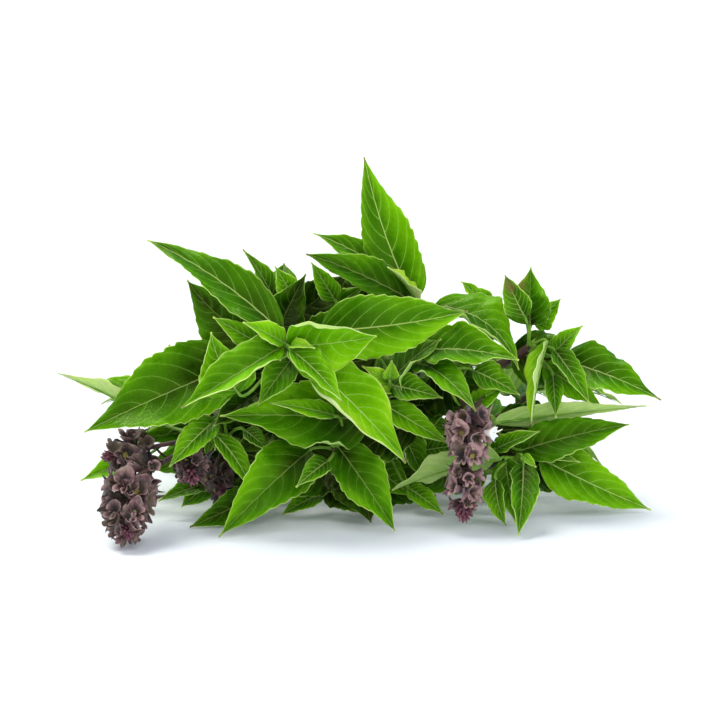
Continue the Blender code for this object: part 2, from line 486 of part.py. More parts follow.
def object_from(bm, name):
    """Mesh object in metres from millimetres."""
    bmesh.ops.scale(bm, vec=(MM, MM, MM), verts=bm.verts)
    bmesh.ops.recalc_face_normals(bm, faces=bm.faces)
    bmesh.ops.triangulate(bm, faces=bm.faces)
    mesh = bpy.data.meshes.new(name)
    bm.to_mesh(mesh)
    bm.free()
    return bpy.data.objects.new(name, mesh)


def without_crumbs(mesh):
    """Keep the one body; drop crumbs and sealed pinholes left where roots meet."""
    bm = bmesh.new()
    bm.from_mesh(mesh)
    left = set(bm.verts)
    islands = []
    while left:
        edge = [left.pop()]
        island = set(edge)
        while edge:
            near = {e.other_vert(v) for v in edge for e in v.link_edges}
            edge = list(near & left)
            left -= near
            island.update(edge)
        islands.append(island)
    islands.sort(key=len)
    bmesh.ops.delete(bm, geom=[v for island in islands[:-1] for v in island], context="VERTS")
    bm.to_mesh(mesh)
    bm.free()


def joined(name, trunk, others, material):
    """One body from a trunk and the pieces rooted in it."""
    group = bpy.data.collections.new(name + ".pieces")
    for piece in others:
        group.objects.link(piece)
    trunk.name = name
    bpy.context.scene.collection.objects.link(trunk)
    union = trunk.modifiers.new("join", "BOOLEAN")
    union.operation = "UNION"
    union.operand_type = "COLLECTION"
    union.collection = group
    union.solver = "MANIFOLD"
    bpy.context.view_layer.objects.active = trunk
    with bpy.context.temp_override(object=trunk, active_object=trunk, selected_objects=[trunk]):
        bpy.ops.object.modifier_apply(modifier=union.name)
    for piece in others:
        bpy.data.objects.remove(piece)
    bpy.data.collections.remove(group)
    without_crumbs(trunk.data)
    trunk.data.materials.clear()
    trunk.data.materials.append(material)
    return trunk


def material(name, colour, rough):
    """Plain Principled material."""
    made = bpy.data.materials.new(name)
    made.use_nodes = True
    shader = made.node_tree.nodes["Principled BSDF"]
    shader.inputs["Base Color"].default_value = (*colour, 1.0)
    shader.inputs["Roughness"].default_value = rough
    return made


def stem_run(points):
    """Centre line of a stem."""
    return curve_points(points, 2 * len(points) - 1)


def stem_radii(radius, run):
    """Stem radius along its run, thinner in its upper part."""
    ups = [i / (len(run) - 1) for i in range(len(run))]
    return [radius * (1.0 - 0.9 * max(0.0, up - 0.6)) for up in ups]


def build():
    """Whole bunch."""
    for thing in list(bpy.data.objects):
        bpy.data.objects.remove(thing)
    runs, solid, trunks = {}, [], {}
    for key, _, radius, points in STEMS:
        run = stem_run(points)
        runs[key] = run
        for grow in (0.0, CLEAR):
            bm = bmesh.new()
            sides = 6 if key == "J" else 5
            tube(bm, run, [r + grow for r in stem_radii(radius, run)], sides)
            if grow == 0.0:
                trunks[key] = bm
            else:
                bmesh.ops.triangulate(bm, faces=bm.faces)
                solid.append(lying(bm, key))
    heads = []
    for index, (name, points, whorls) in enumerate(HEADS):
        bodies = head_bodies(index, curve_points(points, len(points) + 2), whorls)
        for bm in bodies:
            solid.append((name, span(bm), BVHTree.FromBMesh(bm)))
        heads.append((name, bodies))
    blades = placed_blades(runs, solid)
    leaf_green = material("basil leaf", (0.09, 0.25, 0.02), 0.5)
    head_purple = material("basil flower head", (0.13, 0.06, 0.07), 0.7)
    for key, name, _, _ in STEMS:
        pieces = []
        for n, blade in enumerate(b for b in blades if b.sprig == key):
            pieces.append(object_from(leaf_body(blade), f"{key}.leaf.{n}"))
        trunk = object_from(trunks[key], f"{key}.stem")
        joined(name.replace(" ", "_"), trunk, pieces, leaf_green)
    for name, bodies in heads:
        pieces = [object_from(bm, f"{name}.{n}") for n, bm in enumerate(bodies)]
        joined(name.replace(" ", "_"), pieces[0], pieces[1:], head_purple)


build()
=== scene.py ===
import math
import random

import bmesh
import bpy
from mathutils import Matrix, Vector
from mathutils.bvhtree import BVHTree


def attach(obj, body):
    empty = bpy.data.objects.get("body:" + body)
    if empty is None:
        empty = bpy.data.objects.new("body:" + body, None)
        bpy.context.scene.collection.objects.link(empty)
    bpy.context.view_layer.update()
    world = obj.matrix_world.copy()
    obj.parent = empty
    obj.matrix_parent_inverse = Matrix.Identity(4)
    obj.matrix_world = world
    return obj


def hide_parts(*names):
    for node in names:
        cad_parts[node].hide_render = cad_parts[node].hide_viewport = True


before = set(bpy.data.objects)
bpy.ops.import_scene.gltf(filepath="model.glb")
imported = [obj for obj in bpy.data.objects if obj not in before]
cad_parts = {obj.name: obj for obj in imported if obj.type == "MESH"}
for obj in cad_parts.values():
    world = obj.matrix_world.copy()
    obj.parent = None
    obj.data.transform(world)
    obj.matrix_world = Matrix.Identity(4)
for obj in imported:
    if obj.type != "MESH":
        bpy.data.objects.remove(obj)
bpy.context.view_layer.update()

MM = 0.001
ROUND = 6.28           # once round, near enough for waves and starts drawn at random
BLADE_THICK = 0.7      # leaf blade in the plain solids
CLEAR = 0.35           # free gap kept between two sprigs
BLADE_MIDDLE = 0.38    # finished blade beside its midrib
BLADE_RIM = 0.22       # and at its margin
WIDEN = 0.55           # power by which a blade widens from its foot
FIELD_RISE = 0.45      # how far the fields between the veins stand up
RIB_GROOVE = 0.35      # and how deep the midrib's groove is at the foot
ROLL_FROM = 0.66       # where a rolled margin starts, from the midrib at 0 to the margin at 1
VEIN_FIRST = 0.05      # first pair of side veins, share of the blade's length
VEIN_STEP = 0.132      # from one pair to the next
VEIN_LEAN = 0.14       # how far a vein runs forward on its way out
VEIN_BEND = 0.19       # and how much it curves forward
VEIN_OFFSET = 0.3      # how far the right-hand veins start after the left-hand ones, in steps
VEIN_SLANT = 0.72      # a distance along the blade, taken square to a vein
VEIN_WIDE = 0.23       # half width of a side vein at the midrib
STALK_BEND = 0.26      # how far from the blade a leaf stalk bends, share of its length
RACHIS = (0.95, 0.35)  # radius of a flower head's stem at its foot, and how much of it tapers off
SPIRAL = 2.4           # turn from one bud of a cluster to the next
LEAN = math.radians(12.0)   # the bunch is described as met from the front, this far from above
EYE_FAR = 1200.0            # and from this far away
EYE_UP = 52.2               # aimed at this height

UP = Vector((0.0, math.sin(LEAN), math.cos(LEAN)))
TO_FRONT = Vector((0.0, -math.cos(LEAN), math.sin(LEAN)))
RIGHT = Vector((1.0, 0.0, 0.0))

# Stems: key, name, radius, points (x, y, z) from the cut end to the top.
STEMS = (
    ("A", "front rosette sprig", 1.7,
     ((-9, 70, 17), (-13, 46, 25), (-18, 12, 44), (-25, -22, 61), (-26.5, -43, 67.5))),
    ("B", "left sprig", 1.6,
     ((-19, 69, 10), (-29, 42, 20), (-40, 6, 38), (-47, -20, 51), (-57, -31, 41), (-65, -41, 28))),
    ("C", "top sprig", 1.7,
     ((6, 71, 23), (8, 46, 36), (14, 22, 56), (20, 8, 72))),
    ("D", "upper left sprig", 1.6,
     ((-3, 68, 25), (-9, 47, 39), (-19, 26, 54), (-28, 12, 67))),
    ("E", "middle right sprig", 1.6,
     ((9, 66, 15), (13, 42, 26), (19, 10, 43), (24, -14, 56), (32, -29, 53), (38, -39, 44.5))),
    ("F", "upper right sprig", 1.7,
     ((19, 69, 20), (28, 42, 30), (45, 10, 46), (58, -8, 57), (62, -13, 62))),
    ("G", "right sprig", 1.6,
     ((18, 72, 9), (26, 43, 15), (38, 15, 24), (50, -6, 31))),
    ("H", "low right sprig", 1.7,
     ((15, 70, 1.9), (25, 42, 4), (40, 8, 10), (53, -17, 20), (57, -24, 22))),
    ("I", "low middle sprig", 1.6,
     ((2, 67, 10), (4, 42, 15), (6, 5, 30), (10, -18, 44), (12, -25, 49))),
    ("J", "low front sprig", 2.3,
     ((-2, 74, 1.9), (-1, 40, 1.9), (0, 12, 1.9), (0, -8, 1.9), (-4, -22, 12), (-9, -33, 29))),
    ("K", "low left sprig", 1.6,
     ((-13, 71, 1.8), (-21, 43, 6), (-34, 8, 14), (-45, -18, 28), (-49, -26, 30))),
    ("L", "back left sprig", 1.6,
     ((-26, 62, 2.2), (-40, 42, 11), (-54, 24, 25), (-63, 10, 35))),
    ("M", "back right sprig", 1.6,
     ((28, 64, 2.4), (41, 43, 13), (54, 24, 27), (63, 10, 38))),
    ("N", "back middle sprig", 1.6,
     ((-1, 66, 34), (-4, 47, 46), (-4, 31, 57), (-2, 18, 66))),
)

# Leaves: sprig, age (g grown, y young), foot, tip (across, up, deep as met from the front),
# width, face (right, up, front), fold degrees, arch, side bow.
LEAVES = (
    ("A", "y", (-26.5, 57.5, -46), (6.2, 61, -50), 27, (0, -.25, 1), 28, 3, 0),
    ("A", "y", (-28.5, 57.5, -46), (-66.2, 34.4, -57), 19, (-.2, .6, 1), 36, 4, -2.5),
    ("A", "y", (-17, 49, -42), (17, 14, -56), 24, (.5, .15, 1), 28, 3, 0),
    ("A", "y", (-28, 58.5, -47), (-43.3, 66.2, -46), 9.7, (-.3, .6, 1), 34, 1, 0),
    ("A", "y", (-26, 57.5, -47), (-16.7, 56.6, -53), 5.4, (.2, .6, 1), 31, 1, 0),
    ("A", "y", (-25.5, 56, -48), (-6.3, 36.4, -58), 13, (.5, .3, 1), 32, 2, 0),
    ("A", "g", (-29, 62.5, -40), (-78.8, 96.6, -12), 17.5, (.2, .4, 1), 24, 3, 1.5),
    ("A", "g", (-14, 63, -38), (40, 70.3, -24), 26, (0, .05, 1), 25, 3, 1.5),
    ("J", "g", (2, 30, -34), (-51.8, 31.5, -50), 28.1, (0, .3, 1), 15, 3, 0),
    ("J", "g", (-18.5, 18.9, -36), (-52.2, -13.3, -50), 23.8, (0, .35, 1), 22, 3, 0),
    ("J", "g", (-8, 20, -34), (13, -11.1, -42), 20, (.1, .3, 1), 26, 2, 0),
    ("B", "g", (-46.3, 50.3, -34), (-102, 25.5, -46), 32, (-.1, .2, 1), 24, 3, 0),
    ("C", "g", (19.6, 74.4, 4), (1.5, 127.3, 8), 21.5, (.15, 0, 1), 22, 2, -2.2),
    ("F", "g", (74, 52.2, -10), (111.4, 37.4, -22), 20, (0, .5, 1), 22, 3, 0),
    ("G", "g", (50, 29.2, -16), (106.2, 35.3, -24), 10.5, (0, .62, -.78), 14, 2, -.8),
    ("H", "g", (66.6, 15.9, -17), (107.7, -3.3, -19), 20, (0, .45, 1), 12, 2, 1.5),
    ("C", "g", (27, 72.5, -2), (58.8, 48.5, -20), 21.6, (.4, .8, 1), 22, 4, -5),
    ("E", "g", (24, 55.9, -18), (58.8, 52.2, -34), 20.5, (0, .6, 1), 29, 3, 0),
    ("F", "g", (62.9, 65.1, -12), (63.2, 86.6, -10), 20.5, (-.2, 0, 1), 34, 1, 0),
    ("A", "g", (-45, 40, -47.5), (-55.1, 62.5, -53), 22, (-.1, .2, 1), 26, 1, -1.5),
    ("F", "g", (68.5, 59.2, -16), (63.3, 28.1, -28), 11.9, (-1, .2, .4), 34, 1, 0),
    ("B", "g", (-77.7, 30, -30), (-112, 47.4, -22), 13, (-.2, 1, -.6), 22, 2, 0),
    ("B", "g", (-70, 37, -24), (-104.3, 44.4, -12), 13, (-.1, .8, .8), 22, 1, 0),
    ("C", "g", (18.5, 74.4, 0), (-20, 91.4, -14), 16.7, (0, .4, 1), 26, 3, 0),
    ("C", "g", (13, 83.6, 4), (-17.4, 99.2, 12), 14, (.1, .5, 1), 22, 2, 0),
    ("D", "g", (-36, 58, 4), (-64, 81.8, 10), 26, (-.2, .2, 1), 22, 2, -2.5),
    ("A", "g", (-36.3, 57.7, -39), (-54.4, 68.1, -36), 9.7, (-.3, .2, 1), 26, 1, 0),
    ("D", "g", (-31.5, 74.4, 8), (-43.3, 93.2, 9), 9.7, (.6, .2, .7), 29, 1, 0),
    ("D", "g", (-24, 74.4, 2), (-31.5, 87, 1), 11.9, (0, .1, 1), 34, 1, 0),
    ("C", "g", (-9.3, 74.4, -4), (-18.1, 88.4, -4), 9.7, (0, .1, 1), 29, 1, 0),
    ("C", "g", (21.5, 74.4, 1), (10.4, 86.6, -4), 8.6, (1, .8, .3), 29, 1, 0),
    ("E", "g", (22, 51, -22), (43, 33.2, -47), 15, (.2, .4, 1), 24, 4, 0),
    ("E", "g", (42, 48.5, -18), (59.2, 39.2, -22), 11.9, (0, .5, 1), 22, 1, 0),
    ("E", "g", (40, 35, -16), (54.4, 43.3, -21), 8.6, (0, .1, 1), 29, 1, 0),
    ("F", "g", (48.1, 68.8, -4), (37.4, 81.4, -4), 9.7, (.5, .2, 1), 33, 1, 0),
    ("F", "g", (61, 68, -11), (53.6, 83.6, -12), 11, (-.3, .1, 1), 26, 1, 0),
    ("F", "g", (64, 66, -11), (74.2, 74.8, -14), 11.9, (.3, .1, 1), 34, 1, 0),
    ("F", "g", (71, 54, -9), (82.5, 65.1, -9), 9.2, (-.2, .3, 1), 29, 1, 0),
    ("F", "g", (72, 55.9, -12), (85.1, 35.9, -20), 10.8, (.3, .3, 1), 33, 1, 0),
    ("F", "g", (71.4, 46.6, -14), (72.5, 30.7, -20), 8.1, (0, .2, 1), 29, 0, 0),
    ("F", "g", (68, 50, -8), (90, 34.5, -12), 13, (0, .3, 1), 22, 1, 0),
    ("G", "g", (60, 19, -21), (99.6, 28.4, -25), 17, (0, .4, 1), 18, 2, 0),
    ("G", "g", (50, 19.2, -22), (66.6, 25.9, -28), 7.6, (0, .5, 1), 26, 1, 0),
    ("G", "g", (57.4, 19.6, -18), (81.4, 14.4, -23), 10.8, (0, .7, 1), 22, 1, 0),
    ("G", "g", (76, 22.5, -14), (87.7, 11.5, -16), 8.6, (.2, .3, 1), 22, 1, 0),
    ("H", "g", (53.7, 15.2, -27), (57.4, -7.8, -36), 13, (-.2, .2, 1), 29, 1, 0),
    ("H", "g", (60.5, 13.3, -30), (58.5, -12.6, -47), 13, (.3, .3, 1), 29, 1, 0),
    ("H", "g", (50, 8, -30), (54, -9, -40), 9.7, (-.5, .7, .6), 33, 2, 0),
    ("H", "y", (60, 17, -28), (65.1, 12.6, -32), 4.3, (.2, .4, 1), 22, 0, 0),
    ("H", "g", (51.8, 16, -27), (11.8, 4.1, -31), 17, (0, .8, -.6), 22, 2, 0),
    ("I", "g", (12.2, 42.9, -27), (30.7, 38.1, -32), 11.3, (0, .3, 1), 26, 1, 0),
    ("I", "g", (9.3, 35.5, -26), (32.2, 21.5, -32), 11.9, (.1, .1, 1), 33, 1, 0),
    ("I", "g", (13, 30, -22), (24, 7, -28), 13, (.5, .1, 1), 29, 1, 0),
    ("I", "y", (10, 44, -27), (.7, 50, -32), 6.5, (0, .3, 1), 29, 1, 0),
    ("I", "y", (11, 45, -27), (11.8, 52, -31), 6.5, (.2, .1, 1), 29, 0, 0),
    ("I", "y", (4, 41, -28), (14, 39.6, -33), 4.9, (0, .7, 1), 29, 1, 0),
    ("I", "g", (24, 18.9, -16), (38.5, 20.7, -20), 9.7, (0, .2, 1), 26, 1, 0),
    ("I", "g", (18, 5, -16), (30.7, -4.8, -24), 8.6, (0, .4, 1), 22, 1, 0),
    ("J", "g", (-9.3, 31.8, -44), (-33.3, 36.3, -49), 8.6, (0, .7, 1), 22, 1, 0),
    ("J", "g", (-16, 39.2, -40), (-37, 34.8, -45), 6.5, (0, .9, .7), 22, 1, 0),
    ("J", "g", (-11.8, 15, -42), (-23.7, 5.2, -47), 9.5, (-.2, .2, 1), 26, 1, 0),
    ("J", "g", (-14, 3, -16), (-29, -5, -22), 8.6, (0, .5, 1), 22, 1, 0),
    ("K", "g", (-36, 3, -24), (-62.9, -9.6, -38), 14.5, (.1, .5, 1), 26, 2, 0),
    ("K", "g", (-55, 7, -22), (-74.7, 0, -26), 9.7, (0, .7, 1), 26, 1, 0),
    ("K", "g", (-53.4, 24.6, -34), (-39.6, 3.4, -42), 9.5, (.3, .3, 1), 29, 1, -1),
    ("K", "g", (-53.5, 29, -30), (-53.7, 18.9, -35), 4.3, (-.4, .2, 1), 26, 0, 0),
    ("K", "g", (-54.8, 25.5, -30), (-57, 16, -36), 5.4, (0, .2, 1), 29, 0, 0),
    ("K", "g", (-53.5, 30, -40), (-70.6, 12.6, -50), 12, (-.1, .3, 1), 26, 2, 0),
    ("K", "g", (-42.6, 26.3, -34), (-33.3, 17.8, -38), 7.6, (.2, .5, 1), 26, 1, 0),
    ("K", "g", (-44, 22, -24), (-38, 6, -30), 13, (.2, 0, 1), 26, 1, 0),
    ("L", "g", (-79, 17, -10), (-103.4, 7.6, -14), 12, (0, .4, 1), 24, 1, 0),
    ("B", "g", (-54, 27, -24), (-86, 22, -30), 11.9, (0, .3, 1), 26, 1, 0),
    ("A", "y", (-27, 56, -46), (-29.6, 52.2, -51), 3.8, (0, .6, 1), 22, 0, 0),
    ("A", "y", (-26, 56, -46), (-23.5, 50, -51), 3.8, (.1, .6, 1), 22, 0, 0),
    ("D", "g", (-20, 64, 12), (2, 80, 5), 17.3, (0, .2, 1), 22, 1, 0),
    ("I", "g", (10, 30, -4), (36, 26, -12), 20.5, (0, .2, 1), 18, 1, 0),
    ("G", "g", (44, 20, 0), (70, 9, -5), 17.3, (0, .2, 1), 18, 1, 0),
    ("K", "g", (-40, 16, -6), (-68, 9, -14), 17.3, (0, .3, 1), 18, 1, 0),
    ("I", "g", (2, 14, -8), (20, 2, -16), 16.2, (0, .2, 1), 18, 1, 0),
    ("L", "g", (-66, 38, 7), (-96, 36, -3), 19.4, (-.3, 1, -.2), 26, 3, 0),
    ("L", "g", (-64, 40, 11), (-84, 38, 33), 19.4, (-.4, 1, -.5), 26, 3, 0),
    ("L", "g", (-58, 36, 21), (-70, 34, 53), 18.4, (-.5, 1, -.6), 26, 3, 0),
    ("L", "g", (-48, 30, 33), (-78, 24, 47), 17.3, (-.3, 1, -.6), 26, 2, 0),
    ("L", "g", (-50, 30, 33), (-38, 44, 57), 16.2, (0, 1, -.8), 26, 2, 0),
    ("L", "g", (-58, 38, 17), (-44, 60, 25), 17.3, (-.5, .5, -1), 26, 2, 0),
    ("L", "g", (-62, 32, 13), (-88, 15, 11), 16.2, (-.5, 1, 0), 26, 2, 0),
    ("M", "g", (66, 42, 7), (97, 36, 1), 18.4, (.3, 1, -.2), 26, 3, 0),
    ("M", "g", (64, 42, 11), (84, 46, 33), 19.4, (.4, 1, -.5), 26, 3, 0),
    ("M", "g", (58, 38, 19), (70, 38, 51), 18.4, (.4, 1, -.6), 26, 3, 0),
    ("M", "g", (46, 28, 35), (78, 21, 47), 17.3, (.3, 1, -.6), 26, 2, 0),
    ("M", "g", (49, 31, 30), (36, 46, 59), 16.2, (0, 1, -.8), 26, 2, 0),
    ("M", "g", (56, 40, 17), (44, 62, 27), 17.3, (.5, .5, -1), 26, 2, 0),
    ("M", "g", (60, 32, 13), (90, 13, 11), 16.2, (.5, 1, 0), 26, 2, 0),
    ("N", "g", (-2, 66, 15), (-26, 70, 37), 19.4, (-.3, 1, -.6), 26, 3, 0),
    ("N", "g", (0, 66, 15), (24, 72, 35), 19.4, (.3, 1, -.6), 26, 3, 0),
    ("N", "g", (-2, 62, 21), (-4, 58, 59), 18.4, (0, 1, -.7), 26, 3, 0),
    ("N", "g", (-4, 58, 29), (-34, 50, 49), 17.3, (-.3, 1, -.7), 26, 3, 0),
    ("N", "g", (-3.2, 57.4, 30), (26, 52, 51), 17.3, (.3, 1, -.7), 26, 3, 0),
    ("N", "g", (-3, 52, 39), (-16, 40, 67), 15.1, (-.3, 1, -.8), 26, 2, 0),
    ("N", "g", (-2.2, 51.4, 40), (14, 42, 69), 15.1, (.3, 1, -.8), 26, 2, 0),
    ("N", "g", (-2.5, 67.5, 14.5), (0, 84, 19), 16.2, (0, .3, -1), 26, 2, 0),
    ("A", "g", (-18, 44, 24), (-46, 52, 34), 17.3, (-.3, 1, -.5), 26, 2, 0),
    ("E", "g", (20, 44, 12), (48, 50, 22), 17.3, (.3, 1, -.4), 26, 2, 0),
    ("C", "g", (16, 64, 18), (38, 68, 26), 16.2, (.3, 1, -.3), 26, 2, 0),
    ("F", "g", (54, 50, 0), (86, 50, 8), 17.3, (.2, 1, -.2), 26, 2, 0),
    ("G", "g", (36, 24, 16), (66, 20, 34), 16.2, (.3, 1, -.4), 26, 2, 0),
    ("K", "g", (-32, 16, 12), (-62, 16, 26), 16.2, (-.3, 1, -.3), 26, 2, 0),
    ("B", "g", (-38, 40, 6), (-68, 42, 16), 16.2, (-.2, 1, -.3), 26, 2, 0),
    ("D", "g", (-24, 60, 18), (-46, 66, 30), 15.1, (-.3, 1, -.5), 26, 2, 0),
    ("I", "g", (5, 28, 10), (-18, 26, 26), 15.1, (-.2, 1, -.5), 26, 2, 0),
    ("J", "g", (0, 6, 20), (24, 9, 30), 15.1, (.2, 1, -.2), 26, 2, 0),
    ("H", "g", (38, 9, 14), (64, 9, 26), 14, (.2, 1, -.2), 26, 2, 0),
    ("K", "g", (-26, 12, 34), (-52, 16, 46), 15.1, (-.3, 1, -.3), 26, 2, 0),
    ("C", "g", (9, 44, 42), (30, 56, 36), 16.2, (.2, 1, -.4), 26, 2, 0),
    ("A", "g", (-25, 53, -42), (-38, 35, -45), 13, (.1, .3, 1), 28, 2, 0),
    ("B", "g", (-60, 47, -20), (-70.8, 57.8, -18), 9, (-.2, .2, 1), 26, 1, 0),
)

# Leaves inside the bunch, behind the ones above, coloured dark: partly the deeper green of old leaves,
# partly painted shade of the bunch's inside: sprig, foot, tip, width, face up.
INNER_LEAVES = (
    ("B", (-44, 34, -20), (-76, 22, -22), 22, .5),
    ("A", (-30, 44, -20), (-54, 28, -24), 22, .4),
    ("K", (-46, 20, -16), (-78, 12, -16), 22, .4),
    ("K", (-42, 14, -18), (-66, -2, -20), 20, .4),
    ("I", (8, 40, -16), (30, 60, -14), 24, .3),
    ("I", (8, 34, -12), (40, 36, -14), 24, .3),
    ("I", (4, 30, -12), (-26, 42, -16), 24, .3),
    ("I", (6, 20, -8), (-22, 14, -14), 24, .3),
    ("J", (-6, 16, -16), (-36, 2, -18), 22, .3),
    ("J", (0, 10, -14), (28, 2, -18), 22, .3),
    ("J", (-2, 12, -20), (4, -8, -22), 22, .2),
    ("H", (46, 14, -8), (20, 4, -12), 22, .4),
    ("H", (50, 16, -10), (82, 6, -8), 22, .4),
    ("E", (26, 46, -10), (50, 28, -12), 24, .3),
    ("E", (24, 50, -8), (52, 62, -10), 24, .3),
    ("F", (56, 56, -2), (86, 46, -2), 22, .3),
    ("G", (50, 26, -6), (84, 26, -6), 22, .4),
    ("D", (-26, 66, 6), (-4, 84, 4), 20, .2),
    ("D", (-28, 64, 8), (-54, 56, 8), 22, .3),
    ("D", (-30, 66, 7), (-28, 88, 6), 20, .2),
    ("C", (14, 66, 8), (-12, 82, 10), 20, .2),
    ("A", (-20, 54, 0), (8, 68, 0), 24, .3),
    ("A", (-22, 52, -4), (-2, 36, -6), 22, .3),
    ("G", (44, 22, 4), (16, 16, 2), 22, .3),
    ("I", (6, 53, -20), (-44, 47, -25), 26, .3),
    ("J", (-12, 6, -24), (6, -5, -28), 16, .4),
    ("E", (24, 53, -14), (-8, 55, -18), 20, .3),
    ("D", (-32, 60, 4), (-20, 84, 3), 20, .2),
    ("K", (-30, 30, -14), (-58, 24, -16), 20, .3),
    ("A", (-20, 47, -28), (-44, 55, -30), 14, .3),
    ("I", (20, 30, -20), (-10, 12, -25), 20, .3),
    ("K", (-20, 32, -20), (-48, 17, -22), 18, .3),
    ("B", (-42, 40, -4), (-72, 34, -6), 22, .4),
    ("K", (-36, 16, 2), (-12, 8, 0), 22, .3),
)

# Flower heads: key, name, run of the rachis (x, y, z), whorls (place along it, calyxes, reach).
HEADS = (
    ("left flower head",
     ((-65.4, -41.5, 27.4), (-72, -47.5, 25.5), (-79, -53, 22), (-81.5, -58, 15), (-82.5, -65, 9.5),
      (-80.5, -72, 6.5)),
     ((.28, 5, 6.6), (.45, 6, 8.8), (.58, 6, 9.2), (.71, 6, 8.2), (.84, 5, 6.6), (.95, 4, 4.8))),
    ("left side flower head",
     ((-64, -37, 31.5), (-73, -36, 29.5), (-82, -36.5, 27), (-90.5, -38.5, 26.5)),
     ((.4, 5, 7.2), (.62, 6, 7.6), (.84, 5, 5.6))),
    ("middle flower head",
     ((38.3, -40.5, 45.2), (38.6, -42, 40), (38.8, -43, 31), (37.3, -44, 21), (37, -46, 12), (36.9, -49, 7)),
     ((.12, 6, 7.6), (.25, 7, 8.4), (.4, 6, 7.4), (.58, 5, 6.2), (.7, 6, 6.2), (.82, 4, 4.9))),
    ("low left flower head",
     ((-51.2, -28.0, 30.2), (-56.5, -31.8, 29.5), (-60, -34.8, 26), (-60.5, -38, 22), (-59.5, -41, 18)),
     ((.45, 5, 5.6), (.65, 5, 5.8), (.85, 4, 4.8))),
    ("inner left flower head",
     ((-46.4, -22.2, 26.6), (-50.5, -24, 23), (-52.2, -26, 18.5), (-50.8, -29, 14), (-49.5, -32, 11)),
     ((.42, 4, 5.8), (.65, 5, 6.0), (.86, 4, 4.8))),
)


# How pale the calyxes of each head are, partly their own colour and partly painted shade that darkens the
# heads deep in the bunch, and how large its cluster of end buds.
TONE_AND_SHADE_OF_HEAD = (-0.08, -0.15, 0.15, -0.15, -0.35)
TIP_OF_HEAD = (1.2, 1.2, 1.9, 1.3, 1.0)

# Calyx in section, from its stalk over its rim to its throat: place along it, share of its rim's radius, how
# pale, with painted shade at its foot and in its throat and a painted highlight on its rim.
BELL = ((0.0, 0.0, -0.45), (0.02, 0.16, -0.35), (0.3, 0.17, -0.25), (0.42, 0.5, -0.15),
        (0.6, 0.66, -0.05), (0.8, 0.78, 0.05), (0.95, 0.95, 0.42), (0.92, 0.86, 0.62),
        (0.74, 0.45, -0.75), (0.6, 0.0, -0.75))
MOUTH = (6, 7)    # rows of the section that make its rim
SKIN, STALK, CUT = range(3)    # materials of a sprig's stem
CALYX, THROAT, BRACT, BUD, PETAL, ANTHER = range(1, 7)    # and of a head, after the skin of its stem

# The tables below go by a leaf's place in LEAVES.
# Margins rolled over on single leaves: side, (from, to, how far in radians).
ROLLS = {
    0: (0, (0.05, 0.95, 2.3)),
    1: (0, (0.1, 0.9, 1.2)),
    2: (1, (0.0, 0.9, 1.9)),
    7: (0, (0.3, 0.8, 0.6)),
    8: (0, (0.1, 0.5, 2.2)),
    17: (0, (0.1, 0.9, 1.9)),
    16: (1, (0.1, 0.8, 1.8)),
}

# Leaves whose green stands apart from that of their age, from dark at 0 to pale at 1: partly their own
# green, partly painted shade on leaves deep in the bunch and painted light on leaves that face the light.
TONES_AND_PAINTED_LIGHT = {
    0: 0.57, 1: 0.52, 2: 0.66, 3: 0.6, 5: 0.5, 6: 0.27, 7: 0.46, 8: 0.34, 9: 0.3, 10: 0.32, 11: 0.28,
    12: 0.42, 13: 0.3, 14: 0.6, 15: 0.47, 16: 0.38, 17: 0.4, 18: 0.26, 19: 0.5, 20: 0.8, 21: 0.7,
    23: 0.22, 24: 0.3, 25: 0.12, 28: 0.5, 30: 0.9, 35: 0.3, 49: 0.45, 58: 0.5, 59: 0.0, 62: 0.12,
    63: 0.18, 64: 0.42, 67: 0.45, 68: 0.3, 69: 0.1, 70: 0.5, 114: 0.3,
}

# Painted sheen: how much paler the right half of a blade is painted than its middle, for the light that half
# catches; the left half is painted as much darker.
PAINTED_SHEEN_OF_HALVES = {0: 0.06, 1: -0.1, 2: 0.1, 7: 0.12, 8: 0.1, 9: 0.05, 11: -0.06, 12: 0.07, 13: 0.06, 16: -0.1}

# How strongly the veins of a blade show.
VEINED = {0: 0.55, 1: 0.5, 2: 0.75, 6: 1.0, 7: 0.9, 8: 0.4, 9: 0.35, 10: 0.4, 11: 0.7, 12: 1.0,
          13: 0.9, 15: 0.8, 16: 0.7, 17: 0.8, 24: 1.0}

# Dried patches inside a blade: place along it, place across it, how wide.
PATCHES = {18: (0.66, -0.8, 0.4), 35: (0.8, 0.0, 0.6)}


def at(across, up, deep):
    """Point of the bunch named as it is met from the front: across, up, deep."""
    along = (deep - math.sin(LEAN) * up) / math.cos(LEAN)
    grow = 1.0 + along / EYE_FAR
    high = EYE_UP + (up - EYE_UP) * grow
    return RIGHT * (across * grow) + UP * high - TO_FRONT * along


def curve_points(points, count):
    """Even run of points along a smooth curve through the given ones."""
    knots = [Vector(p) for p in points]
    knots = [knots[0] * 2 - knots[1]] + knots + [knots[-1] * 2 - knots[-2]]
    spans = len(knots) - 3
    run = []
    for i in range(count):
        place = i * spans / (count - 1)
        k = min(int(place), spans - 1)
        t = place - k
        a, b, c, d = knots[k:k + 4]
        run.append(0.5 * (2 * b + (c - a) * t + (2 * a - 5 * b + 4 * c - d) * t * t
                          + (3 * b - a - 3 * c + d) * t ** 3))
    return run


def level_pair(direction):
    """Two directions square to the given one and to each other."""
    side = direction.cross(Vector((0, 0, 1)))
    if side.length < 0.2:
        side = direction.cross(Vector((0, 1, 0)))
    side.normalize()
    return side, side.cross(direction).normalized()


def outward(pair, turn):
    """Direction at an angle round an axis, from two directions square to it."""
    return pair[0] * math.cos(turn) + pair[1] * math.sin(turn)


def grid_step(value, count):
    """Which of count steps a corner of a flat grid from -1 to 1 stands at."""
    return round((value * 0.5 + 0.5) * count)


def smooth(low, high, x):
    """Smooth rise from 0 at low to 1 at high."""
    x = min(1.0, max(0.0, (x - low) / (high - low)))
    return x * x * (3 - 2 * x)


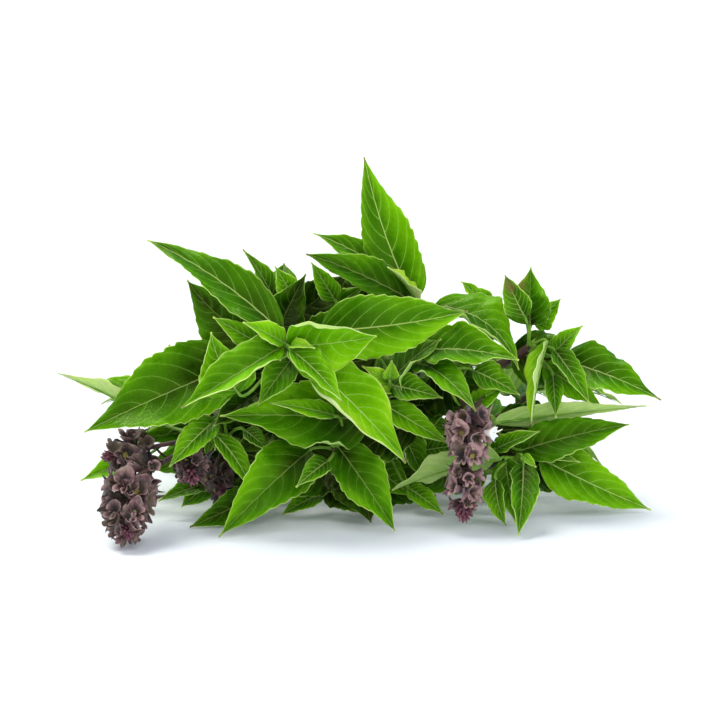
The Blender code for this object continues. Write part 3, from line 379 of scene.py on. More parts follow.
def tube(bm, run, radii, sides):
    """Closed tube along a run of points, pressed flat where it lies on the surface."""
    rings = []
    side = level_pair((run[1] - run[0]).normalized())[0]
    for i, centre in enumerate(run):
        ahead = run[min(i + 1, len(run) - 1)] - run[max(i - 1, 0)]
        ahead.normalize()
        side = (side - ahead * side.dot(ahead)).normalized()
        lift = side.cross(ahead)
        ring = []
        for k in range(sides):
            spot = centre + outward((side, lift), 2 * math.pi * k / sides) * radii[i]
            spot.z = max(spot.z, 0.0)
            ring.append(bm.verts.new(spot))
        rings.append(ring)
    for low, high in zip(rings, rings[1:]):
        for k in range(sides):
            bm.faces.new((low[k], low[(k + 1) % sides], high[(k + 1) % sides], high[k]))
    bm.faces.new(list(reversed(rings[0])))
    bm.faces.new(rings[-1])


def stem_radii(radius, run):
    """Stem radius along its run, thinner in its upper part."""
    ups = [i / (len(run) - 1) for i in range(len(run))]
    return [radius * (1.0 - 0.9 * max(0.0, up - 0.6)) for up in ups]


def rooting_places(run):
    """Places inside a stem where leaf stalks can start."""
    last = run[-1].lerp(run[-2], 1.8 / (run[-1] - run[-2]).length)
    run = run[:-1] + [last]
    return [low.lerp(high, k / 4) for low, high in zip(run, run[1:]) for k in range(1, 5)]


class Blade:
    """One leaf blade: the smooth form shared by every fineness of it."""

    def __init__(self, row, index, run, foot, tip, face_turn=0.0):
        self.sprig, self.age, _, _, width, (right, up, front), fold, self.arch, self.bow = row
        self.place = index
        self.foot, self.tip = foot, tip
        self.root = min(rooting_places(run), key=lambda p: (p - foot).length)
        self.width = width * 0.5
        self.fold = math.radians(fold)
        self.axis = (tip - foot).normalized()
        self.length = (tip - foot).length
        face = RIGHT * right + UP * up + TO_FRONT * front
        face = face - self.axis * face.dot(self.axis)
        face.normalize()
        self.face = Matrix.Rotation(face_turn, 3, self.axis) @ face
        self.across = self.axis.cross(self.face)
        chance = random.Random(1000 + index)
        self.wave = chance.uniform(0.04, 0.085) * width
        self.waves = chance.uniform(1.6, 2.6)
        self.phase = chance.uniform(0, ROUND)
        self.lag = chance.uniform(1.0, 3.0)
        self.taper = chance.uniform(1.12, 1.42)
        peak = WIDEN / (WIDEN + self.taper)
        self.fullest = peak ** WIDEN * (1.0 - peak) ** self.taper

    def spread(self, s):
        """Half width at s."""
        return self.width * s ** WIDEN * (1.0 - s) ** self.taper / self.fullest

    def ripple(self, s, right):
        """Height of the slow wave of one half of the blade at s."""
        return self.wave * math.sin(self.phase + self.lag * right + self.waves * ROUND * s)

    def point(self, s, t, out):
        """Point of the blade: s foot to tip, t -1 to 1 across, out times its half width."""
        hump = 4 * s * (1 - s)
        middle = self.foot + (self.tip - self.foot) * s + self.face * (self.arch * hump)
        middle = middle + self.across * (self.bow * hump)
        reach = self.spread(s) * out
        lift = reach * abs(t) * math.sin(self.fold)
        lift += self.ripple(s, t > 0) * t * t * min(1.0, reach / 3.0)
        return middle + self.across * (reach * t * math.cos(self.fold)) + self.face * lift


def stalk_station(blade, place):
    """Middle, side and face of the stalk, from the stem at 0 to the foot of the blade at 1."""
    start, foot = blade.root, blade.foot
    bend = foot - blade.axis * ((foot - start).length * STALK_BEND)
    middle = start * (1 - place) ** 2 + bend * (2 * place * (1 - place)) + foot * place ** 2
    ahead = ((bend - start) * (1 - place) + (foot - bend) * place).normalized()
    side = ahead.cross(blade.face)
    if side.length < 0.3:
        side = blade.across.copy()
    side.normalize()
    return middle, side, side.cross(ahead)


def leaf_body(blade, grow=0.0, with_stalk=True):
    """Stalk and blade of one leaf as one closed body; grow swells it for the gap test."""
    bm = bmesh.new()
    stalk = 0 if not with_stalk else 2 if (blade.foot - blade.root).length > 10 else 1
    steps = 6 if blade.length > 52 else 5 if blade.length > 25 else 4 if blade.length > 12 else 3
    whole = steps + stalk
    sheet = bmesh.ops.create_grid(bm, x_segments=whole, y_segments=2, size=1.0)["verts"]
    places = {v: (grid_step(v.co.x, whole), round(v.co.y), 1) for v in sheet}
    faces = list({f for v in sheet for f in v.link_faces})
    lower = bmesh.ops.extrude_face_region(bm, geom=faces, use_keep_orig=True)["geom"]
    for v in [g for g in lower if isinstance(g, bmesh.types.BMVert)]:
        places[v] = (grid_step(v.co.x, whole), round(v.co.y), -1)
    for v, (station, t, layer) in places.items():
        if station < stalk:
            middle, side, face = stalk_station(blade, station / stalk)
            v.co = middle + side * (t * (0.65 + grow)) + face * (layer * (0.5 + grow))
            continue
        s = ((station - stalk) / steps) ** 1.15
        tooth = 1.0 + (0.05 if station % 2 else -0.04) * (blade.age == "g")
        spot = blade.point(s, t, tooth)
        spot = spot + blade.across * (t * (grow + max(0.0, 0.5 - blade.spread(s))))
        if station == whole:
            spot = spot + blade.axis * grow
        v.co = spot + blade.face * (layer * (BLADE_THICK * 0.5 + grow))
    bmesh.ops.recalc_face_normals(bm, faces=bm.faces)
    bmesh.ops.triangulate(bm, faces=bm.faces)
    return bm


def apart(one, two):
    """Whether two boxes, three low and three high corners each, are clear of each other."""
    return any(one[k] > two[k + 3] or two[k] > one[k + 3] for k in range(3))


def tries():
    """Changes tried on a leaf until it is clear: cost, foot depth, tip depth, turn, length."""
    rows = []
    for short in (1.0, 0.9, 0.8):
        for turn in (0, 12, -12, 25, -25, 40, -40):
            for foot in (0, 3, -3, 6, -6):
                for tip in (0, 3, -3, 6, -6, 9, -9, 13, -13, 18, -18, 24, -24):
                    cost = abs(foot) * 1.3 + abs(tip) + abs(turn) * 0.35 + (1 - short) * 90
                    rows.append((cost, foot, tip, turn, short))
    rows.sort(key=lambda r: r[0])
    return rows


def lying(bm, key):
    """A body as the clearance rule keeps it: sprig, box, tree."""
    xs, ys, zs = zip(*[v.co for v in bm.verts])
    box = (min(xs), min(ys), min(zs), max(xs), max(ys), max(zs))
    kept = (key, box, BVHTree.FromBMesh(bm))
    bm.free()
    return kept


def touches(one, two):
    """Whether two kept bodies cross."""
    return not apart(one[1], two[1]) and bool(one[2].overlap(two[2]))


def placed_blades(stem_runs, solid):
    """Every leaf, set clear of what lies there already; solid holds (sprig, box, tree)."""
    blades = []
    bare = {}
    changes = tries()
    inner = tuple((key, "o", foot, tip, width, (0, up, 1), 18, 2, 0)
                  for key, foot, tip, width, up in INNER_LEAVES)
    for index, row in enumerate(LEAVES + inner):
        key, _, foot_at, tip_at = row[:4]
        best = None
        for cost, foot_d, tip_d, turn, short in changes:
            if best and cost > best[0]:
                break
            foot = at(foot_at[0], foot_at[1], foot_at[2] + foot_d)
            tip = at(tip_at[0], tip_at[1], tip_at[2] + tip_d)
            tip = foot + (tip - foot) * short
            blade = Blade(row, index, stem_runs[key], foot, tip, math.radians(turn))
            whole = lying(leaf_body(blade, CLEAR), key)
            if whole[1][2] < -CLEAR * 0.9 or any(s[0] != key and touches(whole, s) for s in solid):
                continue
            alone = lying(leaf_body(blade, CLEAR, False), key)
            cost += 12 * sum(touches(alone, s) for s in bare.get(key, []))
            if best is None or cost < best[0]:
                best = (cost, blade)
        if best is None:
            continue
        blades.append(best[1])
        solid.append(lying(leaf_body(best[1]), key))
        bare.setdefault(key, []).append(lying(leaf_body(best[1], 0.0, False), key))
    return blades


def calyx(foot, direction, length, rim, turn):
    """Plain open calyx flaring from its short stalk: longer and shorter lobes, a sunk mouth."""
    bm = bmesh.new()
    pair = level_pair(direction)
    start = bm.verts.new(foot)
    heart = bm.verts.new(foot + direction * (length * 0.68))
    lobes = []
    for k, lobe in enumerate((1.18, 0.9, 1.0, 1.0, 0.9)):
        out = outward(pair, turn + 2 * math.pi * k / 5)
        lobes.append(bm.verts.new(foot + direction * (length * lobe) + out * rim))
    for one, two in zip(lobes, lobes[1:] + lobes[:1]):
        bm.faces.new((one, two, heart))
        bm.faces.new((two, one, start))
    return bm


def scale_leaf(foot, direction, length, width, thick):
    """Plain small pointed bract or bud: widest near its foot."""
    bm = bmesh.new()
    side, lift = level_pair(direction)
    waist = foot + direction * (length * 0.35)
    ring = [bm.verts.new(waist + way) for way in
            (side * width, lift * thick, side * -width, lift * -thick)]
    start, end = bm.verts.new(foot), bm.verts.new(foot + direction * length)
    for one, two in zip(ring, ring[1:] + ring[:1]):
        bm.faces.new((one, two, end))
        bm.faces.new((two, one, start))
    return bm


def calyx_rows(index, run, whorls):
    """Where each calyx and bract of a head sits: kind, foot, direction, length, width, turn, stem way."""
    chance = random.Random(500 + index)
    rows = []
    for place, count, reach in whorls:
        spot = place * (len(run) - 1)
        k = min(int(spot), len(run) - 2)
        centre = run[k].lerp(run[k + 1], spot - k)
        ahead = (run[k + 1] - run[k]).normalized()
        pair = level_pair(ahead)
        first = chance.uniform(0, ROUND)
        for n in range(count):
            out = outward(pair, first + 2 * math.pi * n / count + chance.uniform(-0.16, 0.16))
            lean = (out + ahead * chance.uniform(0.15, 0.5)).normalized()
            start = centre + ahead * chance.uniform(-0.7, 0.7)
            size = reach * chance.uniform(0.88, 1.06)
            rows.append(("calyx", start, lean, size, size * 0.27 + 0.35, chance.uniform(0, ROUND), ahead))
        way = (outward(pair, first + math.pi / count) - ahead * 0.4).normalized()
        rows.append(("bract", centre - ahead * 1.6, way, reach * 1.2, reach * 0.2, 0.0, ahead))
    return rows


def lifted(bm):
    """Keep a shape just above the surface that the bunch lies on, nowhere quite level with it."""
    for v in bm.verts:
        v.co.z = max(v.co.z, 0.02 + 0.01 * (v.co.x % 1.0))


def head_bodies(index, run, whorls):
    """Plain rachis, calyxes, bracts and end buds of one flower head, as closed bodies."""
    rachis = bmesh.new()
    tube(rachis, run, [RACHIS[0] - RACHIS[1] * i / (len(run) - 1) for i in range(len(run))], 5)
    bodies = [rachis]
    for kind, foot, way, length, width, turn, _ in calyx_rows(index, run, whorls):
        if kind == "calyx":
            bodies.append(calyx(foot, way, length, width, turn))
        else:
            bodies.append(scale_leaf(foot, way, length, width, 0.45))
    ahead = (run[-1] - run[-2]).normalized()
    pair = level_pair(ahead)
    for n in range(3):
        way = (ahead + outward(pair, 2 * math.pi * n / 3 + 0.5) * 0.45).normalized()
        bodies.append(scale_leaf(run[-1] - ahead * 1.5, way, 3.6, 0.95, 0.9))
    for bm in bodies:
        lifted(bm)
        bmesh.ops.recalc_face_normals(bm, faces=bm.faces)
    return bodies


def whole_layout():
    """Head runs and every leaf of the bunch, set by the same rule as the plain solids."""
    runs, solid, heads = {}, [], []
    for key, _, radius, points in STEMS:
        run = curve_points(points, 2 * len(points) - 1)
        runs[key] = run
        bm = bmesh.new()
        tube(bm, run, [r + CLEAR for r in stem_radii(radius, run)], 6 if key == "J" else 5)
        bmesh.ops.triangulate(bm, faces=bm.faces)
        solid.append(lying(bm, key))
    for index, (name, points, whorls) in enumerate(HEADS):
        run = curve_points(points, len(points) + 2)
        for bm in head_bodies(index, run, whorls):
            solid.append(lying(bm, name))
        heads.append((index, name, run, points, whorls))
    return heads, placed_blades(runs, solid)


def vein_gap(blade, s, t):
    """Distance in millimetres from a place on the blade to its nearest side vein."""
    out = abs(t)
    place = (s - VEIN_LEAN * out - VEIN_BEND * out * out - VEIN_FIRST) / VEIN_STEP
    place -= VEIN_OFFSET * (t > 0)
    return abs(place - round(place)) * VEIN_STEP * blade.length * VEIN_SLANT


def tooth_at(blade, s, right):
    """How far a margin stands out at s: shallow teeth that point to the tip, on a slow swell."""
    phase = blade.phase + 2.1 * right
    ends = smooth(0.08, 0.3, s) * smooth(1.0, 0.8, s)
    swell = 0.06 * math.sin(2.3 * phase + (8 + 3 * right) * s) * ends
    if blade.age == "y":
        return 1.0 + swell + 0.012 * math.sin(phase + 40 * s)
    count = 5 + int(blade.length / 7)
    place = s * count + phase
    saw = place - math.floor(place)
    rise = saw / 0.8 if saw < 0.8 else (1 - saw) / 0.2
    return 1.0 + swell + 0.08 * (rise - 0.5) * ends


def leaf_lift(blade, s, t, half):
    """Height of the blade's upper face over its flat form: fold, waves, puffed fields, midrib."""
    out = abs(t)
    right = t > 0
    fold = half * (math.hypot(out, 0.1) - 0.1) * 1.08 * math.sin(blade.fold)
    ruffle = 0.06 * half * math.sin(blade.phase * 3 + 2 * right + ROUND * s * (3 + blade.lag))
    waves = blade.ripple(s, right) + ruffle * smooth(1.0, 0.8, s)
    waves = waves * t * t * min(1.0, half / 3.0)
    veins = 1 - math.exp(-vein_gap(blade, s, t) ** 2)
    puff = FIELD_RISE * min(1.0, blade.width / 9.0) * veins * (1 - out ** 4) * smooth(0.0, 0.15, s)
    groove = RIB_GROOVE * math.exp(-(half * out / 0.7) ** 2) * (1 - s)
    cup = 0.06 * half * smooth(0.65, 1.0, out)
    return fold + waves + puff * smooth(1.0, 0.9, s) - groove - cup


def rolled(distance, roll):
    """Way across and up of a margin strip that starts flat and rolls by an angle: (across, up)."""
    if distance <= ROLL_FROM or abs(roll) < 0.02:
        return distance, 0.0
    share = (distance - ROLL_FROM) / (1.0 - ROLL_FROM)
    return (ROLL_FROM + (1 - ROLL_FROM) * math.sin(roll * share) / roll,
            (1 - ROLL_FROM) * (1 - math.cos(roll * share)) / roll)


def mesh_of(bm, name="shape"):
    """Mesh of a shape, which is then let go."""
    mesh = bpy.data.meshes.new(name)
    bm.to_mesh(mesh)
    bm.free()
    return mesh


def finished(bm):
    """Mesh in metres from a shape in millimetres, its faces smooth."""
    for f in bm.faces:
        f.smooth = True
    bmesh.ops.scale(bm, vec=(MM, MM, MM), verts=bm.verts)
    return mesh_of(bm)


def laid(bm):
    """Finished mesh of a closed shape, kept above the surface that the bunch lies on."""
    bmesh.ops.recalc_face_normals(bm, faces=bm.faces)
    lifted(bm)
    return finished(bm)


def linked(name, data):
    """New object in the scene."""
    made = bpy.data.objects.new(name, data)
    bpy.context.scene.collection.objects.link(made)
    return made


def gathered(name, meshes, finishes):
    """One object from finished meshes, with its materials."""
    bm = bmesh.new()
    for mesh in meshes:
        bm.from_mesh(mesh)
        bpy.data.meshes.remove(mesh)
    mesh = mesh_of(bm, name)
    for finish in finishes:
        mesh.materials.append(finish)
    return linked(name, mesh)


def painted(mesh, index):
    """Give every face of a mesh one material slot."""
    for face in mesh.polygons:
        face.material_index = index
    return mesh


def leaf_mesh(blade, tone, painted_sheen, wear, rolls, veined):
    """One finished blade: its upper face is a grid bent to its form, with its facts on the corners."""
    bm = bmesh.new()
    bm.loops.layers.uv.new("leaf")
    size = bm.verts.layers.float_vector.new("leaf_size")
    margin, worn, drawn = [bm.verts.layers.float.new(name) for name in ("margin", "wear", "veined")]
    steps, across = (64, 16) if blade.length > 26 else (36, 12) if blade.length > 14 else (20, 8)
    sheet = bmesh.ops.create_grid(bm, x_segments=steps, y_segments=across, size=1.0)["verts"]
    dry_tip, (dry_along, dry_across, dry_wide) = wear
    places, stations = {}, {}
    for v in sheet:
        raw, t = round(v.co.x * 0.5 + 0.5, 5), round(v.co.y, 5)
        out, s = abs(t), raw ** 1.1
        if raw not in stations:
            teeth = (tooth_at(blade, s, False), tooth_at(blade, s, True))
            stations[raw] = (blade.point(s, 0.0, 1.0), teeth, blade.spread(s))
        middle, teeth, half = stations[raw]
        start, end, roll = rolls[t > 0]
        roll *= smooth(start, start + 0.15, s) * smooth(end, end - 0.15, s)
        flat, risen = rolled(out, roll)
        reach = half * (1.0 + (teeth[t > 0] - 1.0) * out ** 6) * math.cos(blade.fold)
        spot = middle + blade.across * (math.copysign(flat, t) * (reach + max(0.0, 0.35 - half)))
        v.co = spot + blade.face * (leaf_lift(blade, s, t, half) + risen * half)
        places[v] = (s, t)
        # The third fact is the leaf's tone, with painted sheen making one half of the blade paler and the
        # other darker.
        v[size] = Vector((blade.length, half * out, tone + painted_sheen * max(-1.0, min(1.0, 3 * t))))
        v[drawn] = veined
        v[margin] = half * (1 - out) + 3 * max(0.0, 0.12 - s) * blade.length
        far = (s - dry_along) ** 2 + (0.3 * (t - dry_across)) ** 2
        dried = math.exp(-far / (dry_wide * 0.4 + 0.001) ** 2)
        v[worn] = dry_tip * smooth(0.93, 1.0, s) + 0.9 * dried * (dry_wide > 0)
    return with_under_face(bm, blade, places)


def with_under_face(bm, blade, places):
    """Blade closed by a second face a leaf's thickness under the first, both with their leaf map."""
    faces = list(bm.faces)
    bm.normal_update()
    if sum(f.normal.dot(blade.face) * f.calc_area() for f in faces) < 0:
        bmesh.ops.reverse_faces(bm, faces=faces)
        bm.normal_update()
    under = {}
    for v, (s, t) in places.items():
        thick = BLADE_MIDDLE + (BLADE_RIM - BLADE_MIDDLE) * abs(t)
        under[tuple(v.co)] = (v.co - v.normal * thick, (s, t))
    made = bmesh.ops.extrude_face_region(bm, geom=faces, use_keep_orig=True)["geom"]
    for v in [g for g in made if isinstance(g, bmesh.types.BMVert)]:
        v.co, places[v] = under[tuple(v.co)]
    upper = set(faces)
    bmesh.ops.recalc_face_normals(bm, faces=bm.faces)
    uv = bm.loops.layers.uv["leaf"]
    for f in bm.faces:
        f.material_index = 0 if f in upper else 1
        for loop in f.loops:
            s, t = places[loop.vert]
            loop[uv].uv = (s, t * 0.5 + 0.5)
    return finished(bm)


def section(corner):
    """Cross-section of a shoot: square with round corners, or round where corner is 1."""
    data = bpy.data.curves.new("section", "CURVE")
    spline = data.splines.new("POLY")
    count = 16
    spline.points.add(count - 1)
    spline.use_cyclic_u = True
    for k, point in enumerate(spline.points):
        turn = 2 * math.pi * k / count
        square = 1.0 / max(abs(math.cos(turn)), abs(math.sin(turn)))
        radius = MM * (corner + (1 - corner) * 0.84 * square)
        point.co = (radius * math.cos(turn), radius * math.sin(turn), 0.0, 1.0)
    return linked("section", data)


def shoots(runs, corner):
    """Mesh of shoots along runs of (point, radius), with closed ends."""
    data = bpy.data.curves.new("shoots", "CURVE")
    data.dimensions = "3D"
    data.twist_mode = "MINIMUM"
    data.bevel_mode = "OBJECT"
    data.bevel_object = section(corner)
    data.use_fill_caps = True
    for run in runs:
        spline = data.splines.new("POLY")
        spline.points.add(len(run) - 1)
        for point, (spot, radius) in zip(spline.points, run):
            point.co = (*(spot * MM), 1.0)
            point.radius = radius
    curve = linked("shoots", data)
    view = bpy.context.evaluated_depsgraph_get()
    mesh = bpy.data.meshes.new_from_object(curve.evaluated_get(view))
    bpy.data.objects.remove(data.bevel_object)
    bpy.data.objects.remove(curve)
    bm = bmesh.new()
    bm.from_mesh(mesh)
    bpy.data.meshes.remove(mesh)
    bmesh.ops.remove_doubles(bm, verts=bm.verts, dist=1e-7)
    for v in bm.verts:
        v.co.z = max(v.co.z, 0.0)
    bmesh.ops.recalc_face_normals(bm, faces=bm.faces)
    for f in bm.faces:
        f.smooth = len(f.verts) == 4
    return mesh_of(bm)


def main_shoot(radius, points):
    """Stem of a sprig: dense run with a swelling at each joint where leaves stood."""
    run = curve_points(points, 20 * (len(points) - 1) + 1)
    along, shoot = 0.0, []
    for k, (spot, wide) in enumerate(zip(run, stem_radii(radius, run))):
        along += (spot - run[k - 1]).length if k else 0.0
        joint = math.exp(-(((along + 9) % 24 - 12) / 1.6) ** 2)
        shoot.append((spot, wide * (0.94 + 0.16 * joint)))
    return shoot


def stalk_shoot(blade):
    """Leaf stalk from the stem to the foot of the blade, and on under it as its midrib."""
    shoot = [(stalk_station(blade, k / 8)[0], 0.85 - 0.3 * smooth(0.0, 0.25, k / 8)) for k in range(8)]
    for k in range(21):
        s = (k / 20) ** 1.2 * 0.93
        radius = 0.56 * (1 - k / 20) ** 0.8 + 0.06
        under = blade.face * (BLADE_MIDDLE + 0.25 + radius * 0.25)
        shoot.append((blade.point(s, 0.0, 1.0) - under, radius))
    return shoot


def cut_end(run, radius):
    """Pale face of a cut stem, a little dished, with its rim of skin."""
    ahead = (run[1] - run[0]).normalized()
    bm = bmesh.new()
    bmesh.ops.create_cone(bm, cap_ends=True, segments=16, radius1=0.9 * radius, radius2=0.9 * radius,
                          depth=0.5)
    cap = [f for f in bm.faces if len(f.verts) == 16 and f.normal.z < 0]
    bmesh.ops.inset_region(bm, faces=cap, thickness=0.22 * radius, depth=-0.16)
    turn = Vector((0, 0, 1)).rotation_difference(ahead).to_matrix().to_4x4()
    bmesh.ops.transform(bm, matrix=Matrix.Translation(run[0] + ahead * 0.1) @ turn, verts=bm.verts)
    bmesh.ops.recalc_face_normals(bm, faces=bm.faces)
    return finished(bm)


def bell(foot, direction, length, rim, turn, ahead, tone, lip):
    """Calyx on its stalk: ribbed bell whose upper lobe is a broad round shield, the lower ones teeth."""
    bm = bmesh.new()
    shade = bm.verts.layers.float.new("shade")
    back = (-ahead + direction * ahead.dot(direction)).normalized()
    pair = (back, direction.cross(back))
    sides, rows = 24, len(BELL) - 1
    bmesh.ops.create_grid(bm, x_segments=sides, y_segments=rows, size=1.0)
    for f in bm.faces:
        row = round((f.calc_center_median().y * 0.5 + 0.5) * rows - 0.5)
        f.material_index = 1 if row >= rows - 1 else 0
    for v in bm.verts:
        row = grid_step(v.co.y, rows)
        angle = 2 * math.pi * grid_step(v.co.x, sides) / sides
        along, wide, pale = BELL[row]
        shield = max(0.0, math.cos(1.15 * (angle - 2 * math.pi * (angle > math.pi)))) ** 0.55
        tooth = abs(math.sin(2.0 * angle)) ** 0.7
        opening = 1.0 if row in MOUTH else 0.3 if row == MOUTH[0] - 1 else 0.0
        out = rim * wide * (1 + 0.06 * math.cos(10 * angle) * (row < MOUTH[0]))
        wavy = 1 + 0.14 * math.sin(5 * angle + turn)
        keel = max(0.0, 1 - 1.6 * min(angle, 2 * math.pi - angle))
        out *= 1 + opening * (lip * (shield * wavy + 0.45 * keel) + (0.75 * tooth - 0.5) * (1 - shield))
        reach = length * (along + opening * (0.26 * tooth * (1 - shield) - 0.14 * lip * shield
                                             + 0.12 * keel))
        v.co = foot + direction * reach + outward(pair, angle + 0.4 * math.sin(turn)) * out
        # The shade holds the calyx's own tone and ribs, with painted shade at its foot and throat and a
        # painted highlight on its rim.
        ribs = 0.07 * math.cos(12 * angle) - 0.15 * keel * (row <= MOUTH[1])
        v[shade] = tone + ribs + pale
    bmesh.ops.remove_doubles(bm, verts=bm.verts, dist=0.001)
    return laid(bm)


def bract(foot, direction, length, width, ahead):
    """Small pointed leaf under a whorl, cupped towards the head."""
    bm = bmesh.new()
    bmesh.ops.create_icosphere(bm, subdivisions=3, radius=1.0)
    side = direction.cross(ahead).normalized()
    face = side.cross(direction)
    for v in bm.verts:
        along = v.co.z * 0.5 + 0.5
        wide = width * (1.35 - along) ** 0.7
        cup = 0.3 * width * v.co.x ** 2 - 0.25 * length * along ** 2
        v.co = (foot + direction * (along * length) + side * (v.co.x * wide)
                + face * (v.co.y * 0.28 * (1.2 - along) + cup))
    return laid(bm)


def bud(foot, direction, length, width):
    """Pointed bud, fattest near its foot."""
    bm = bmesh.new()
    bmesh.ops.create_icosphere(bm, subdivisions=2, radius=1.0)
    side, lift = level_pair(direction)
    for v in bm.verts:
        along = v.co.z * 0.5 + 0.5
        wide = width * (1.0 - 0.6 * along ** 1.5)
        v.co = foot + direction * (along ** 1.1 * length) + (side * v.co.x + lift * v.co.y) * wide
    return laid(bm)


def crown_buds(run, chance):
    """Cluster of small folded leaves at the growing tip of a sprig."""
    ahead = (run[-1] - run[-2]).normalized()
    pair = level_pair(ahead)
    made = []
    for k in range(6):
        way = (ahead + outward(pair, SPIRAL * k) * (0.35 + 0.12 * k)).normalized()
        made.append(bud(run[-1] - ahead * 0.8, way, 3.4 - 0.25 * k + chance.uniform(0, 0.5), 0.75))
    return made


def petal_flower(foot, direction, length):
    """White open flower: flared tube with a frilled upper lip."""
    bm = bmesh.new()
    pair = level_pair(direction)
    sides = 24
    bmesh.ops.create_grid(bm, x_segments=sides, y_segments=6, size=1.0)
    for v in bm.verts:
        along = v.co.y * 0.5 + 0.5
        angle = 2 * math.pi * grid_step(v.co.x, sides) / sides
        frill = 0.5 + 0.5 * math.cos(5 * angle)
        out = 0.7 + 2.0 * along ** 2.5 * (0.85 + 0.2 * frill + 0.1 * math.sin(9 * angle))
        reach = length * along * (0.88 + 0.12 * frill) + 0.35 * math.sin(9 * angle) * along ** 3
        v.co = foot + direction * reach + outward(pair, angle) * out
    bmesh.ops.remove_doubles(bm, verts=bm.verts, dist=0.001)
    bmesh.ops.recalc_face_normals(bm, faces=bm.faces)
    bmesh.ops.solidify(bm, geom=bm.faces, thickness=0.15)
    lifted(bm)
    return finished(bm)


def stamens(foot, direction, length):
    """Four stamens that stand out of the flower, each a run of (point, radius)."""
    side, lift = level_pair(direction)
    runs = []
    for k in range(4):
        lean = side * (0.22 * (k - 1.5)) + lift * 0.3
        runs.append([(foot + (direction + lean * (j / 8)) * (length * j / 8), 0.2) for j in range(9)])
    return runs


def srgb(code):
    """Linear colour from an sRGB hex code."""
    parts = [int(code[k:k + 2], 16) / 255 for k in (0, 2, 4)]
    return tuple(p / 12.92 if p <= 0.04045 else ((p + 0.055) / 1.055) ** 2.4 for p in parts) + (1.0,)


def add(tree, kind, sockets=(), output=0, **settings):
    """Add a node, and return one of its outputs.

    Sockets are its inputs, in order or by key, each a value or a link; settings are its properties.
    """
    made = tree.nodes.new("ShaderNode" + kind)
    for name, value in settings.items():
        setattr(made, name, value)
    for key, value in sockets.items() if isinstance(sockets, dict) else enumerate(sockets):
        if isinstance(value, bpy.types.NodeSocket):
            tree.links.new(value, made.inputs[key])
        else:
            made.inputs[key].default_value = value
    return made.outputs[output]


def new_finish(name, **sockets):
    """Material with a Principled shader: itself, its tree, its shader and places on the object."""
    made = bpy.data.materials.new(name)
    made.use_nodes = True
    tree = made.node_tree
    shader = tree.nodes["Principled BSDF"]
    for key, value in sockets.items():
        shader.inputs[key.replace("_", " ")].default_value = value
    return made, tree, shader, add(tree, "TexCoord", output="Object")


def vein_masks(tree):
    """Masks on a blade from its leaf map: side veins, midrib, margin, and its own facts."""
    leaf = add(tree, "UVMap", uv_map="leaf")
    along, across, _ = add(tree, "SeparateXYZ", (leaf,)).node.outputs
    facts = add(tree, "Attribute", output="Vector", attribute_name="leaf_size")
    length, from_rib, tone = add(tree, "SeparateXYZ", (facts,)).node.outputs
    signed = add(tree, "Math", (across, 2.0, -1.0), operation="MULTIPLY_ADD")
    out = add(tree, "Math", (signed,), operation="ABSOLUTE")
    right = add(tree, "Math", (signed, 0.0), operation="GREATER_THAN")
    lean = add(tree, "Math", (out, -VEIN_BEND, -VEIN_LEAN), operation="MULTIPLY_ADD")
    run = add(tree, "Math", (out, lean, along), operation="MULTIPLY_ADD")
    steps = add(tree, "Math", (run, 1 / VEIN_STEP, -VEIN_FIRST / VEIN_STEP), operation="MULTIPLY_ADD")
    place = add(tree, "Math", (right, -VEIN_OFFSET, steps), operation="MULTIPLY_ADD")
    share = add(tree, "Math", (place, 0.5), operation="PINGPONG")
    scaled = add(tree, "Math", (length, VEIN_STEP * VEIN_SLANT), operation="MULTIPLY")
    gap = add(tree, "Math", (share, scaled), operation="MULTIPLY")
    reach = add(tree, "MapRange", (out, 0.0, 1.0, VEIN_WIDE, VEIN_WIDE * 0.45))
    vein = add(tree, "MapRange", (gap, reach, 0.04, 0.0, 1.0), interpolation_type="SMOOTHSTEP")
    reach = add(tree, "MapRange", (along, 0.0, 1.0, VEIN_WIDE * 2.2, VEIN_WIDE * 0.7))
    rib = add(tree, "MapRange", (from_rib, reach, 0.0, 0.0, 1.0), interpolation_type="SMOOTHSTEP")
    margin = add(tree, "Attribute", output="Fac", attribute_name="margin")
    rim = add(tree, "MapRange", (margin, 0.4, 0.08, 0.0, 1.0))
    return vein, rib, rim, tone, gap, along, out


